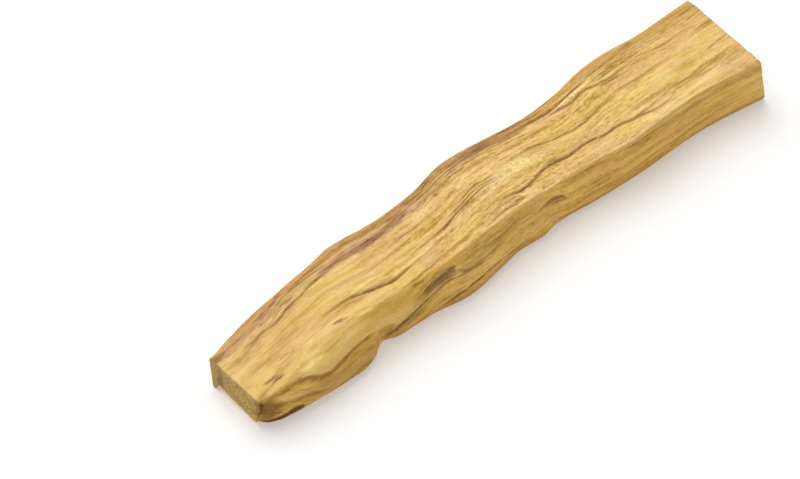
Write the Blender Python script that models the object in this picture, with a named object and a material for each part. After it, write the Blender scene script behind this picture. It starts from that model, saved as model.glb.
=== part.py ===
"""A palo santo stick: one billet split from wavy-grained wood, lying on its underside.

The stick runs along X, from its sawn near end at -X to its far end at +X. Its front
side faces -Y, its back side +Y, and it rests on the plane z = 0. The wood is one piece,
so it is one object. Every dimension here is in millimetres until the mesh is written.
"""

import bmesh
import bpy
import numpy as np
from mathutils import noise

MM = 0.001

# Where the two sawn ends stand, and how the far one leans out towards its foot and its back.
NEAR_END = -50.2
FAR_END = 50.4
FAR_END_LEAN = 1.45
FAR_END_SKEW = 0.6

# The stick's four long edges seen from above, as (x, y).
BACK_EDGE = (
    (-50, 6.2), (-47, 6.8), (-42, 7.5), (-35, 8.1), (-28, 8.7), (-23, 9.5), (-18, 9.1), (-13, 9.0),
    (-8, 9.2), (-2, 10.1), (3, 10.1), (9, 9.4), (16, 8.8), (21, 8.8), (27, 9.5), (32, 9.8),
    (41, 9.0), (50, 8.6),
)
FRONT_EDGE = (
    (-50, -5.2), (-48, -5.6), (-45, -5.9), (-40, -6.2), (-36, -5.8), (-32, -5.0), (-27, -4.8),
    (-20, -5.2), (-13, -5.5), (-6, -5.3), (1, -4.9), (8, -5.4), (16, -5.8), (22, -6.8),
    (32, -7.1), (37, -6.9), (43, -7.8), (50, -8.9),
)
FRONT_FOOT = (
    (-50, -4.2), (-47.8, -5.4), (-43, -6.3), (-35, -7.0), (-31, -7.0), (-28.4, -6.1), (-26.4, -5.0),
    (-24, -5.7), (-17.5, -6.1), (-9.5, -7.2), (-4.5, -6.6), (1, -5.8), (6, -6.0), (8.5, -5.7),
    (16, -6.3), (25, -6.9), (38, -7.0), (44, -7.6), (50, -8.8),
)
BACK_FOOT = ((-50, 5.7), (-38, 7.9), (-26, 9.3), (-14, 8.3), (0, 9.7), (14, 8.9), (30, 9.9), (50, 8.9))

# Height of the top face along its middle, as (x, z).
TOP_HEIGHT = (
    (-50, 6.3), (-44, 7.6), (-37, 8.8), (-29, 9.4), (-21, 9.3), (-12, 9.6), (-2, 9.9), (8, 9.6),
    (17, 9.5), (28, 9.9), (38, 9.8), (50, 10.0),
)

# The top face rolls down to the back edge over this width and by this much, but for a
# slight rise at the near end.
SHOULDER_WIDTH = 3.2
SHOULDER_DROP = ((-50, -0.4), (-45, 0.6), (-40, 1.2), (-20, 1.5), (5, 1.3), (25, 0.9), (50, 0.3))

# The underside, clear of the plane at the near end but for one tooth at the back corner.
NEAR_LIFT = 1.1
NEAR_LIFT_SLOPE = 0.09
NEAR_LIFT_REACH = 6.0
TOOTH_WIDTH = 1.1
PAD_HALF_LENGTH = 34.0
PAD_HALF_WIDTH = 2.6
PAD_MIDDLE = 0.8
PAD_DEPTH = 0.8
FOOT_ROLL = 0.12

# Radii of the long corners, the front one as (x, radius), and how far the sides swell.
FRONT_TOP_RADIUS = ((-50, 0.5), (-40, 1.1), (-32, 0.7), (-20, 0.5), (50, 0.4))
BACK_TOP_RADIUS = 1.1
FOOT_RADIUS = 0.4
FRONT_SWELL = 0.35
BACK_SWELL = 0.5
SWELL_FADE = 8.0

# The lobe at the foot of the front side, which ends in a notch.
LOBE_START = -49.0
LOBE_END = -27.6
LOBE_HEIGHT = 4.6
LOBE_SWELL = 0.55

# Relief of the split faces, as (length, width, height) of ridges that follow the fibres.
RIDGES = ((24.0, 2.3, 0.36), (11.0, 1.1, 0.14))
END_RELIEF = 0.3

# How far the fibres wander sideways along the front, the middle and the back, as (x, y).
FIBRES_FRONT = (
    (-50, -0.4), (-33, 0.8), (-20, 0.1), (-11, -0.2), (1, 0.6), (10, 0.2), (25, -0.5), (50, -1.2),
)
FIBRES_MIDDLE = (
    (-50, 0.3), (-33, 0.7), (-21, -0.9), (-12, -0.6), (1, 1.1), (9, 0.7), (18, -0.3), (29, 0.2),
    (50, -0.3),
)
FIBRES_BACK = ((-50, -1.6), (-23, 0.5), (-14, 0.0), (3, 1.2), (16, -0.5), (31, 0.7), (50, -0.1))
FIBRES_FRONT_Y = -6.0
FIBRES_BACK_Y = 8.0

# Named creases as (x, y) on the top and (x, z) on the sides, each with its half width and depth.
TOP_CREASES = (
    (((-36, -0.7), (-30, -1.0), (-26, -1.9), (-21, -2.8), (-12, -2.4)), 0.8, 0.4),
    (((-26, -4.8), (-17, -4.4), (-8, -4.0), (-2, -2.5)), 0.7, 0.3),
    (
        ((-4, -2.8), (1, -2.3), (4, -2.7), (11, -1.7), (15, -2.4), (21, -3.2), (30, -4.8),
         (42, -4.4)),
        0.8, 0.5,
    ),
    (((12, 5.6), (21, 5.0), (24, 5.4), (29, 4.5), (36, 4.9), (42, 4.1), (48, 4.2)), 0.8, 0.45),
    (((-17, -0.9), (-9, -0.4), (-4, 1.2), (0, 2.2), (8, 2.4), (14, 1.4), (22, 1.0)), 0.7, 0.3),
    (
        ((-46, 3.2), (-38, 3.6), (-30, 4.9), (-22, 5.4), (-12, 6.1), (-2, 7.4), (8, 7.1),
         (17, 5.9), (28, 6.8)),
        0.8, 0.3,
    ),
)
FRONT_CREASES = (
    (((-49, 6.0), (-44, 6.3), (-41, 5.4), (-38, 4.3), (-33, 5.0), (-27, 4.7)), 0.7, 0.4),
    (((-27, 0.9), (-22, 2.8), (-19, 3.8), (-14, 6.4)), 0.6, 0.4),
    (((-16, 1.3), (-8, 2.3), (-3, 2.0), (8, 1.0)), 0.6, 0.3),
)
BACK_CREASES = (
    (((-44, 3.4), (-30, 3.8), (-16, 5.0), (-4, 4.6), (8, 5.6)), 0.7, 0.4),
    (((2, 2.6), (14, 3.4), (24, 3.0), (36, 4.6), (46, 4.4)), 0.7, 0.4),
)
CREASE_FADE = 6.0

# Knots on the front side: (x, z, half length, half height, depth).
KNOTS = ((-15.5, 7.2, 2.4, 1.2, 0.4), (7.6, 6.4, 2.2, 0.9, 0.4))

# The chip broken from the near end's front corner: its middle, its reach each way, its depth.
CHIP_MIDDLE = (-50.0, -5.6, 3.4)
CHIP_REACH = (1.3, 1.3, 2.3)
CHIP_DEPTH = 1.0

# How many faces the stick has along its length, across its width and up its sides.
FACES_ALONG = 62
FACES_ACROSS = 24
FACES_UP = 10

WOOD_COLOUR = (0.730, 0.462, 0.156, 1.0)
WOOD_ROUGHNESS = 0.62


def curve_through(points, at):
    """The height at each x of a smooth curve through (x, height) points."""
    x, y = np.array(points, float).T
    slope = np.gradient(y, x)
    i = np.clip(np.searchsorted(x, at) - 1, 0, len(x) - 2)
    step = x[i + 1] - x[i]
    t = np.clip((at - x[i]) / step, 0, 1)
    return (
        (2 * t**3 - 3 * t**2 + 1) * y[i]
        + (t**3 - 2 * t**2 + t) * step * slope[i]
        + (3 * t**2 - 2 * t**3) * y[i + 1]
        + (t**3 - t**2) * step * slope[i + 1]
    )


def smooth_step(low, high, value):
    """0 below low, 1 above high, and an even rise between."""
    t = np.clip((value - low) / (high - low), 0, 1)
    return t * t * (3 - 2 * t)


def hump(distance, half_width):
    """1 at no distance, falling to 0 beyond about two half widths."""
    return np.exp(-((distance / half_width) ** 2))


def mix(low, high, share):
    """A value between low and high."""
    return low + (high - low) * share


def subdivided_box():
    """A cube from -1 to 1, cut into an even grid of faces on all its sides."""
    box = bmesh.new()
    bmesh.ops.create_cube(box, size=2)
    for axis, faces in enumerate((FACES_ALONG, FACES_ACROSS, FACES_UP)):
        edges = [e for e in box.edges if abs(e.verts[0].co[axis] - e.verts[1].co[axis]) > 1e-6]
        bmesh.ops.subdivide_edges(box, edges=edges, cuts=faces - 1, use_grid_fill=True)
    return box


def corner_radius(x, across, up):
    """The radius of the long corner that each point of a section is nearest to."""
    top = np.where(across < 0, curve_through(FRONT_TOP_RADIUS, x), BACK_TOP_RADIUS)
    return np.where(up > 0, top, FOOT_RADIUS)


def round_corners(x, across, up, half_width, half_height):
    """Draws a section's corners in to their radii. The section runs from -1 to 1 both ways."""
    radius = corner_radius(x, across, up)
    point = np.stack([across * half_width, up * half_height])
    inner = np.stack([half_width - radius, half_height - radius])
    centre = np.clip(point, -inner, inner)
    arm = point - centre
    reach = np.maximum(np.hypot(*arm), 1e-9)
    share = np.abs(arm).max(axis=0) / reach
    return (centre + arm * share) / np.stack([half_width, half_height])


def top_surface(x, y):
    """Height of the top face, with its shoulder along the back edge."""
    from_edge = curve_through(BACK_EDGE, x) - y
    roll = 1 - smooth_step(0, SHOULDER_WIDTH, from_edge)
    return curve_through(TOP_HEIGHT, x) - curve_through(SHOULDER_DROP, x) * roll


def under_surface(x, y):
    """Height of the underside before it is planed off at z = 0."""
    along = 1 - smooth_step(PAD_HALF_LENGTH, FAR_END, np.abs(x))
    over = 1 - smooth_step(PAD_HALF_WIDTH, 2 * PAD_HALF_WIDTH, np.abs(y - PAD_MIDDLE))
    rest = FOOT_ROLL * (1 - over) - PAD_DEPTH * along * over
    near = 1 - smooth_step(0, NEAR_LIFT_REACH, x - NEAR_END)
    tooth = smooth_step(0, TOOTH_WIDTH, y - (curve_through(BACK_FOOT, x) - 1.6 * TOOTH_WIDTH))
    lift = near * (NEAR_LIFT + NEAR_LIFT_SLOPE * y)
    return mix(rest, lift, near) * (1 - tooth * near)


def fibre_offset(x, y):
    """How far the fibres at this place lie to the side of a straight line."""
    middle = curve_through(FIBRES_MIDDLE, x)
    front_share = np.clip(y / FIBRES_FRONT_Y, 0, 1)
    back_share = np.clip(y / FIBRES_BACK_Y, 0, 1)
    bent = mix(middle, curve_through(FIBRES_FRONT, x), front_share)
    return bent + (curve_through(FIBRES_BACK, x) - middle) * back_share


def stick_surface(along, across, up):
    """Carries points of the box, each coordinate from -1 to 1, onto the smooth stick."""
    x = mix(NEAR_END, FAR_END, (along + 1) / 2)
    half_width = (curve_through(BACK_EDGE, x) - curve_through(FRONT_EDGE, x)) / 2
    half_height = curve_through(TOP_HEIGHT, x) / 2
    across, up = round_corners(x, across, up, half_width, half_height)
    rise = (up + 1) / 2
    lobe = smooth_step(LOBE_START, LOBE_START + 9, x) * (1 - smooth_step(LOBE_END - 2, LOBE_END, x))
    height = rise * 2 * half_height
    lobe_swell = LOBE_SWELL * lobe * hump(height - LOBE_HEIGHT / 2, LOBE_HEIGHT / 2)
    belly = (1 - up**2) * smooth_step(0, SWELL_FADE, FAR_END - np.abs(x))
    front = mix(curve_through(FRONT_FOOT, x), curve_through(FRONT_EDGE, x), rise)
    front -= FRONT_SWELL * belly + lobe_swell
    back = mix(curve_through(BACK_FOOT, x), curve_through(BACK_EDGE, x), rise)
    back += BACK_SWELL * belly
    y = mix(front, back, (across + 1) / 2) + curve_through(FIBRES_MIDDLE, x) * (1 - across**2)
    z = mix(under_surface(x, y), top_surface(x, y), rise)
    lean = FAR_END_LEAN * (0.5 - rise) + FAR_END_SKEW * across * rise
    x = x + lean * smooth_step(0.9, 1, along)
    return x, y, z


def ridges(x, y, z):
    """Relief of the split wood in millimetres: long ridges that follow the fibres."""
    across_fibres = y - fibre_offset(x, y)
    out = np.zeros(len(x))
    for length, width, height in RIDGES:
        points = np.stack([x / length, across_fibres / width, z / width], axis=1)
        out += height * np.array([noise.noise(p) for p in points])
    return out


def crease(path, half_width, along, side):
    """How deep in a crease each point lies, from 0 to 1, fading out at the crease's ends."""
    start, end = path[0][0], path[-1][0]
    fade = smooth_step(start, start + CREASE_FADE, along) * (1 - smooth_step(end - CREASE_FADE, end, along))
    return fade * hump(side - curve_through(path, along), half_width)


def carving(x, y, z, normal):
    """How far the relief, creases, knots and chips move the surface out, in millimetres."""
    up = np.clip(normal[:, 2], 0, 1)
    front = np.clip(-normal[:, 1], 0, 1)
    back = np.clip(normal[:, 1], 0, 1)
    end = smooth_step(0.6, 0.9, np.abs(normal[:, 0]))
    out = mix(1, END_RELIEF, end) * ridges(x, y, z)
    for creases, facing, side in ((TOP_CREASES, up, y), (FRONT_CREASES, front, z), (BACK_CREASES, back, z)):
        for path, half_width, depth in creases:
            out -= depth * facing * crease(path, half_width, x, side)
    for knot_x, knot_z, half_length, half_height, depth in KNOTS:
        out -= depth * front * hump(np.hypot((x - knot_x) / half_length, (z - knot_z) / half_height), 1)
    from_chip = (np.stack([x, y, z], axis=1) - CHIP_MIDDLE) / CHIP_REACH
    return out - CHIP_DEPTH * hump(np.linalg.norm(from_chip, axis=1), 1)


def place_vertices(box):
    """Moves the box's vertices onto the carved stick, planed flat where it rests."""
    corners = np.array([v.co for v in box.verts])
    smooth = np.stack(stick_surface(*corners.T), axis=1)
    for vertex, point in zip(box.verts, smooth):
        vertex.co = point
    box.normal_update()
    normals = np.array([v.normal for v in box.verts])
    carved = smooth + normals * carving(*smooth.T, normals)[:, None]
    carved[:, 2] = np.maximum(carved[:, 2], 0)
    middle = (carved.min(axis=0) + carved.max(axis=0)) / 2
    carved[:, :2] -= middle[:2]
    for vertex, point in zip(box.verts, carved):
        vertex.co = point * MM


def wood_material():
    """Pale golden wood with a dry, matt surface."""
    material = bpy.data.materials.new("palo_santo_wood")
    material.use_nodes = True
    shader = material.node_tree.nodes["Principled BSDF"]
    shader.inputs["Base Color"].default_value = WOOD_COLOUR
    shader.inputs["Roughness"].default_value = WOOD_ROUGHNESS
    shader.inputs["Metallic"].default_value = 0.0
    return material


def build_stick(collection):
    """Makes the stick and links it to its collection."""
    box = subdivided_box()
    place_vertices(box)
    mesh = bpy.data.meshes.new("stick")
    box.to_mesh(mesh)
    box.free()
    mesh.shade_smooth()
    mesh.materials.append(wood_material())
    stick = bpy.data.objects.new("stick", mesh)
    collection.objects.link(stick)
    return stick


def main():
    """Clears the scene and models the stick."""
    for obj in list(bpy.data.objects):
        bpy.data.objects.remove(obj)
    collection = bpy.data.collections.new("palo_santo_stick")
    bpy.context.scene.collection.children.link(collection)
    build_stick(collection)


main()
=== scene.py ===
"""Looks of a palo santo stick: split wood with wavy fibres, dressed over its solid.

The drawing of the stick is in millimetres: x runs along it from the sawn near end to the
far end, y towards its rounded back edge, and z up from the plane it lies on. The last
step of each piece carries it from the drawing into the frame, in metres.
"""

from __future__ import annotations

import logging
import math
import random
from dataclasses import dataclass, field
from enum import Enum
from typing import Iterable, Mapping, Optional, Sequence, Union

import bpy
import numpy as np
from mathutils import Matrix, Vector, noise

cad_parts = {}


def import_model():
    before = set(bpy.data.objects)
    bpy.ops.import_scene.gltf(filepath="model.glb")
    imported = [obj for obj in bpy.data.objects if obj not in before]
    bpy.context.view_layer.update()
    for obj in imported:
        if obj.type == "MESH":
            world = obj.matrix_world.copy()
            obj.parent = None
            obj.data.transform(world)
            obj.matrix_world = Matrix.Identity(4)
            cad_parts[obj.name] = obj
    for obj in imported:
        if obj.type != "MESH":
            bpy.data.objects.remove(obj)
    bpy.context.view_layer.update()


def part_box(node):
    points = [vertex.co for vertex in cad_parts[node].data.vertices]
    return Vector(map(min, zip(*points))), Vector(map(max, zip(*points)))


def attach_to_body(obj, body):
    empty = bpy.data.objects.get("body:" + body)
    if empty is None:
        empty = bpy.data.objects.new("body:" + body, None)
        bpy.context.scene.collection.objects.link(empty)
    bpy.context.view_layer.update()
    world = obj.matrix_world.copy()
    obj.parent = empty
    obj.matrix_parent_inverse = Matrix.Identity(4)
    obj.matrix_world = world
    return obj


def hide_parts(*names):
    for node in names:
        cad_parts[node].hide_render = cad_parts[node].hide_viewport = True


log = logging.getLogger("palo_santo_stick")

MM = 0.001
NODE = "stick"
BODY = "root"

# The middle of the stick's box on the drawing, which is the frame's origin.
MIDDLE = np.array([0.5448, 0.8151, 0.0])

# How squarely a face has to look to a side before that side's marks start to show on it, and
# before they show in full: for stains, for the grooves of creases and for their colour.
STAIN_FACING = (0.1, 0.6)
GROOVE_FACING = (0.1, 0.7)
LINE_FACING = (0.25, 0.7)

# What a point without a crease is painted with: far from one, and no strength or tone.
NO_CREASE = (9.0, 0.0, 0.0)

Number = Union[float, "Value"]
Pairs = Sequence[tuple[float, float]]
Socket = bpy.types.NodeSocket
Colour = tuple[float, float, float]
ColourInput = Union[Colour, Socket]


class Side(Enum):
    """The long faces of the stick, each with the normal's axis and sign that it faces."""

    TOP = (2, 1)
    UNDER = (2, -1)
    FRONT = (1, -1)
    BACK = (1, 1)

    def facing(self, normals: np.ndarray) -> np.ndarray:
        """How squarely each normal faces this side, from 0 to 1.

        Args:
            normals: One unit normal per row.

        Returns:
            One share per normal.
        """
        axis, sign = self.value
        return np.clip(sign * normals[:, axis], 0, 1)

    def place(self, points: np.ndarray) -> np.ndarray:
        """Where points lie across this side: y on the top and underside, z on the others."""
        return points[:, 1] if self.value[0] == 2 else points[:, 2]


def smooth_step(low: float, high: float, value: np.ndarray) -> np.ndarray:
    """Grades values evenly from 0 to 1.

    Args:
        low: Where the rise starts.
        high: Where the rise ends, below low for a fall.
        value: The values to grade.

    Returns:
        One share per value.
    """
    t = np.clip((value - low) / (high - low), 0, 1)
    return t * t * (3 - 2 * t)


def hump(distance: np.ndarray) -> np.ndarray:
    """1 at no distance, falling to 0 beyond about 2."""
    return np.exp(-(distance**2))


def mix(low: np.ndarray, high: np.ndarray, share: np.ndarray) -> np.ndarray:
    """A value between low and high."""
    return low + (high - low) * share


@dataclass(frozen=True)
class Line:
    """A smooth line drawn through given points, as (x, height)."""

    points: Pairs

    def at(self, x: np.ndarray) -> np.ndarray:
        """Reads the line's height.

        Args:
            x: Places along the stick.

        Returns:
            The height at each place.
        """
        px, py = np.array(self.points, float).T
        slope = np.gradient(py, px)
        i = np.clip(np.searchsorted(px, x) - 1, 0, len(px) - 2)
        step = px[i + 1] - px[i]
        t = np.clip((x - px[i]) / step, 0, 1)
        return (
            (2 * t**3 - 3 * t**2 + 1) * py[i]
            + (t**3 - 2 * t**2 + t) * step * slope[i]
            + (3 * t**2 - 2 * t**3) * py[i + 1]
            + (t**3 - t**2) * step * slope[i + 1]
        )


@dataclass(frozen=True)
class Billet:
    """The stick's smooth form: four long edges, a shoulder at the back and a lifted near end."""

    near_end: float = -50.2
    far_end: float = 50.6
    far_end_lean: float = 1.45
    far_end_skew: float = 0.6
    lean_from: float = 0.9
    back_edge: Line = Line((
        (-50, 6.2), (-47, 6.8), (-42, 7.5), (-35, 8.1), (-28, 8.7), (-23, 9.5), (-18, 9.1),
        (-13, 9.0), (-8, 9.2), (-2, 10.1), (3, 10.1), (9, 9.4), (16, 8.8), (21, 8.8), (27, 9.5),
        (32, 9.8), (41, 9.0), (50, 8.6),
    ))
    front_edge: Line = Line((
        (-50, -5.2), (-48, -5.6), (-45, -5.9), (-40, -6.2), (-36, -5.8), (-32, -5.0), (-27, -4.8),
        (-20, -5.2), (-13, -5.5), (-6, -5.3), (1, -4.9), (8, -5.4), (16, -5.8), (22, -6.8),
        (32, -7.1), (37, -6.9), (43, -7.8), (50, -8.9),
    ))
    front_foot: Line = Line((
        (-50, -4.3), (-48.8, -5.0), (-47.4, -5.6), (-43, -6.3), (-35, -7.0), (-31, -7.0),
        (-28.4, -6.1), (-26.4, -5.0), (-24, -5.7), (-17.5, -6.1), (-9.5, -7.2), (-4.5, -6.6),
        (1, -5.8), (6, -6.0), (8.5, -5.7), (16, -6.3), (25, -6.9), (38, -7.0), (44, -7.6),
        (50, -8.8),
    ))
    back_foot: Line = Line((
        (-50, 5.7), (-38, 7.9), (-26, 9.3), (-14, 8.3), (0, 9.7), (14, 8.9), (30, 9.9), (50, 8.9),
    ))
    top_height: Line = Line((
        (-50, 6.3), (-44, 7.6), (-37, 8.8), (-29, 9.4), (-21, 9.3), (-12, 9.6), (-2, 9.9),
        (8, 9.6), (17, 9.5), (28, 9.9), (38, 9.8), (50, 10.0),
    ))
    shoulder_drop: Line = Line((
        (-50, -0.4), (-45, 0.6), (-40, 1.2), (-20, 1.5), (5, 1.3), (25, 0.9), (50, 0.3),
    ))
    shoulder_width: float = 3.2
    near_lift: float = 1.1
    near_lift_slope: float = 0.09
    near_lift_reach: float = 2.6
    tooth_width: float = 0.9
    tooth_inset: float = 1.6
    pad_half_length: float = 34.0
    pad_half_width: float = 2.6
    pad_middle: float = 0.8
    pad_depth: float = 0.8
    foot_roll: float = 0.12
    front_top_radius: Line = Line(((-50, 0.5), (-40, 1.1), (-32, 0.7), (-20, 0.5), (50, 0.4)))
    back_top_radius: Line = Line((
        (-50, 0.7), (-47, 1.0), (-44, 1.1), (-40, 1.1), (36, 1.1), (40, 1.1), (45, 0.8), (50, 0.3),
    ))
    foot_radius: float = 0.4
    front_swell: float = 0.35
    back_swell: float = 0.5
    swell_fade: float = 8.0
    lobe_start: float = -49.0
    lobe_rise: float = 9.0
    lobe_end: float = -27.6
    lobe_fall: float = 2.0
    lobe_height: float = 4.6
    lobe_swell: float = 0.55

    def top(self, x: np.ndarray, y: np.ndarray) -> np.ndarray:
        """Height of the top face, with its shoulder along the back edge.

        Args:
            x: Places along the stick.
            y: Places across it.

        Returns:
            The height at each place.
        """
        roll = 1 - smooth_step(0, self.shoulder_width, self.back_edge.at(x) - y)
        return self.top_height.at(x) - self.shoulder_drop.at(x) * roll

    def underside(self, x: np.ndarray, y: np.ndarray) -> np.ndarray:
        """Height of the underside before it is planed off on the plane it lies on.

        Args:
            x: Places along the stick.
            y: Places across it.

        Returns:
            The height at each place.
        """
        along = 1 - smooth_step(self.pad_half_length, self.far_end, np.abs(x))
        over = 1 - smooth_step(self.pad_half_width, 2 * self.pad_half_width, np.abs(y - self.pad_middle))
        rest = self.foot_roll * (1 - over) - self.pad_depth * along * over
        near = 1 - smooth_step(0, self.near_lift_reach, x - self.near_end)
        tooth_start = self.back_foot.at(x) - self.tooth_inset * self.tooth_width
        tooth = smooth_step(0, self.tooth_width, y - tooth_start)
        lift = near * (self.near_lift + self.near_lift_slope * y)
        return mix(rest, lift, near) * (1 - tooth * near)

    def rounded(self, x: np.ndarray, across: np.ndarray, up: np.ndarray, size: np.ndarray) -> np.ndarray:
        """Draws a section's corners in to their radii.

        Args:
            x: Places along the stick.
            across: Places across the section, from -1 to 1.
            up: Places up the section, from -1 to 1.
            size: Half the section's width and height, in two rows.

        Returns:
            The new places across and up, in two rows.
        """
        top = np.where(across < 0, self.front_top_radius.at(x), self.back_top_radius.at(x))
        radius = np.where(up > 0, top, self.foot_radius)
        point = np.stack([across, up]) * size
        inner = size - radius
        centre = np.clip(point, -inner, inner)
        arm = point - centre
        reach = np.maximum(np.hypot(*arm), 1e-9)
        return (centre + arm * np.abs(arm).max(axis=0) / reach) / size

    def surface(self, corners: np.ndarray, fibres: Fibres) -> np.ndarray:
        """Carries points of a box, each coordinate from -1 to 1, onto the smooth stick.

        Args:
            corners: One point of the box per row.
            fibres: How the fibres run, which the rows of faces follow.

        Returns:
            One point of the drawing per row.
        """
        along, across, up = corners.T
        x = mix(self.near_end, self.far_end, (along + 1) / 2)
        size = np.stack([(self.back_edge.at(x) - self.front_edge.at(x)) / 2, self.top_height.at(x) / 2])
        across, up = self.rounded(x, across, up, size)
        rise = (up + 1) / 2
        lobe = smooth_step(self.lobe_start, self.lobe_start + self.lobe_rise, x)
        lobe = lobe * (1 - smooth_step(self.lobe_end - self.lobe_fall, self.lobe_end, x))
        half_lobe = self.lobe_height / 2
        belly = (1 - up**2) * smooth_step(0, self.swell_fade, self.far_end - np.abs(x))
        front = mix(self.front_foot.at(x), self.front_edge.at(x), rise) - self.front_swell * belly
        front = front - self.lobe_swell * lobe * hump((rise * 2 * size[1] - half_lobe) / half_lobe)
        back = mix(self.back_foot.at(x), self.back_edge.at(x), rise) + self.back_swell * belly
        y = mix(front, back, (across + 1) / 2) + fibres.middle.at(x) * (1 - across**2)
        z = mix(self.underside(x, y), self.top(x, y), rise)
        lean = self.far_end_lean * (0.5 - rise) + self.far_end_skew * across * rise
        return np.stack([x + lean * smooth_step(self.lean_from, 1, along), y, z], axis=1)


@dataclass(frozen=True)
class Fibres:
    """How the wood's fibres wander sideways over the top and up and down the front."""

    front: Line = Line((
        (-50, -0.4), (-33, 0.8), (-20, 0.1), (-11, -0.2), (1, 0.6), (10, 0.2), (25, -0.5), (50, -1.2),
    ))
    middle: Line = Line((
        (-50, 0.3), (-33, 0.7), (-21, -0.9), (-12, -0.6), (1, 1.1), (9, 0.7), (18, -0.3), (29, 0.2),
        (50, -0.3),
    ))
    back: Line = Line(((-50, -1.6), (-23, 0.5), (-14, 0.0), (3, 1.2), (16, -0.5), (31, 0.7), (50, -0.1)))
    rise: Line = Line((
        (-50, 1.0), (-45, 1.2), (-41, 0.0), (-37.5, -1.0), (-32, -0.3), (-28, -1.2), (-24, -1.9),
        (-20, -0.9), (-15.5, 1.2), (-12, 0.9), (-7, 0.5), (0, 0.0), (3.5, 0.3), (7.5, 1.1),
        (11, 0.1), (18, 0.0), (30, 0.2), (50, 0.0),
    ))
    front_place: float = -6.0
    back_place: float = 8.0

    def sideways(self, x: np.ndarray, y: np.ndarray) -> np.ndarray:
        """How far the fibres at each place lie to the side of a straight line.

        Args:
            x: Places along the stick.
            y: Places across it.

        Returns:
            The offset at each place.
        """
        middle = self.middle.at(x)
        bent = mix(middle, self.front.at(x), np.clip(y / self.front_place, 0, 1))
        return bent + (self.back.at(x) - middle) * np.clip(y / self.back_place, 0, 1)

    def grain(self, points: np.ndarray) -> np.ndarray:
        """Coordinates in which the fibres run straight along the first axis.

        Args:
            points: One point of the drawing per row.

        Returns:
            One point of straightened wood per row.
        """
        x, y, z = points.T
        on_front = np.clip(y / self.front_place, 0, 1)
        return np.stack([x, y - self.sideways(x, y), z - self.rise.at(x) * on_front], axis=1)


@dataclass(frozen=True)
class Ridges:
    """Relief of split wood: ridges of one length and width that follow the fibres."""

    length: float
    width: float
    height: float
    start: float = 0.0

    def lift(self, grain: np.ndarray) -> np.ndarray:
        """How far the ridges raise the surface.

        Args:
            grain: One point of straightened wood per row.

        Returns:
            The lift at each point, in millimetres.
        """
        scaled = grain / (self.length, self.width, self.width) + self.start
        return self.height * np.array([noise.noise(p) for p in scaled])


@dataclass(frozen=True)
class Ledges(Ridges):
    """Steps where the wood split along another layer of fibres."""

    sharpness: float = 9.0

    def lift(self, grain: np.ndarray) -> np.ndarray:
        """How far the ledges raise the surface, as Ridges.lift says."""
        scaled = grain / (self.length, self.width, self.width) + self.start
        return self.height * np.tanh(self.sharpness * np.array([noise.noise(p) for p in scaled]))


class Column(Enum):
    """What each stop of a mark gives after its x, by its place in the stop."""

    PLACE = 1
    HALF_WIDTH = 2
    STRENGTH = 3


@dataclass(frozen=True)
class Streak:
    """A soft mark along the fibres, drawn as stops of (x, place, half width, strength).

    The place is across the stick for marks on the top and the underside, and a height for
    marks on the front and the back.
    """

    side: Side
    stops: Sequence[tuple[float, float, float, float]]

    def column(self, which: Column, x: np.ndarray) -> np.ndarray:
        """Reads one column of the stops along the stick.

        Args:
            which: The column. Places run on a smooth line, and the others on straight lines.
            x: Places along the stick.

        Returns:
            The value at each place.
        """
        along = [stop[0] for stop in self.stops]
        values = [stop[which.value] for stop in self.stops]
        if which is Column.PLACE:
            return Line(tuple(zip(along, values))).at(x)
        return np.interp(x, along, values)

    def within(self, x: np.ndarray) -> np.ndarray:
        """Whether each place lies between the first stop and the last."""
        return (x >= self.stops[0][0]) & (x <= self.stops[-1][0])

    def distance(self, points: np.ndarray) -> np.ndarray:
        """Signed distance from the mark's middle, in half widths.

        Args:
            points: One point of the drawing per row.

        Returns:
            One distance per point.
        """
        x = points[:, 0]
        away = self.side.place(points) - self.column(Column.PLACE, x)
        return away / self.column(Column.HALF_WIDTH, x)

    def mask(self, points: np.ndarray, normals: np.ndarray) -> np.ndarray:
        """How strongly the mark covers each point.

        Args:
            points: One point of the drawing per row.
            normals: The surface's normal at each point.

        Returns:
            One share per point, from 0 to 1.
        """
        x = points[:, 0]
        facing = smooth_step(*STAIN_FACING, self.side.facing(normals))
        return facing * self.within(x) * self.column(Column.STRENGTH, x) * hump(self.distance(points))


# How finely the creases of each side are drawn, as a share of the half widths in their stops.
FINENESS: Mapping[Side, float] = {Side.TOP: 0.65, Side.FRONT: 0.9, Side.BACK: 1.0, Side.UNDER: 1.0}


@dataclass(frozen=True)
class Crease(Streak):
    """A crack or a torn line: a groove with a lip on one side and a colour of its own, with painted shade
    around it and a painted highlight on the lip.

    A tone of 0 is an ochre shade and 1 a dark brown line.
    """

    depth: float = 0.3
    tone: float = 0.6
    narrowest: float = 0.22
    lip_height: float = 0.25
    lip_place: float = 1.9
    lip_width: float = 1.1

    def column(self, which: Column, x: np.ndarray) -> np.ndarray:
        """Reads one column of the stops, with half widths as fine as that side's creases are."""
        value = super().column(which, x)
        return value * FINENESS[self.side] if which is Column.HALF_WIDTH else value

    def cut(self, points: np.ndarray, normals: np.ndarray) -> np.ndarray:
        """How far the crease sinks the surface, less what its lip raises it.

        Args:
            points: One point of the drawing per row.
            normals: The surface's normal at each point.

        Returns:
            The depth at each point, in millimetres.
        """
        x = points[:, 0]
        half = self.column(Column.HALF_WIDTH, x)
        away = self.distance(points) * half / np.maximum(half, self.narrowest)
        profile = hump(away) - self.lip_height * hump((away - self.lip_place) / self.lip_width)
        facing = smooth_step(*GROOVE_FACING, self.side.facing(normals))
        return self.depth * facing * self.within(x) * self.column(Column.STRENGTH, x) * profile


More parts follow.
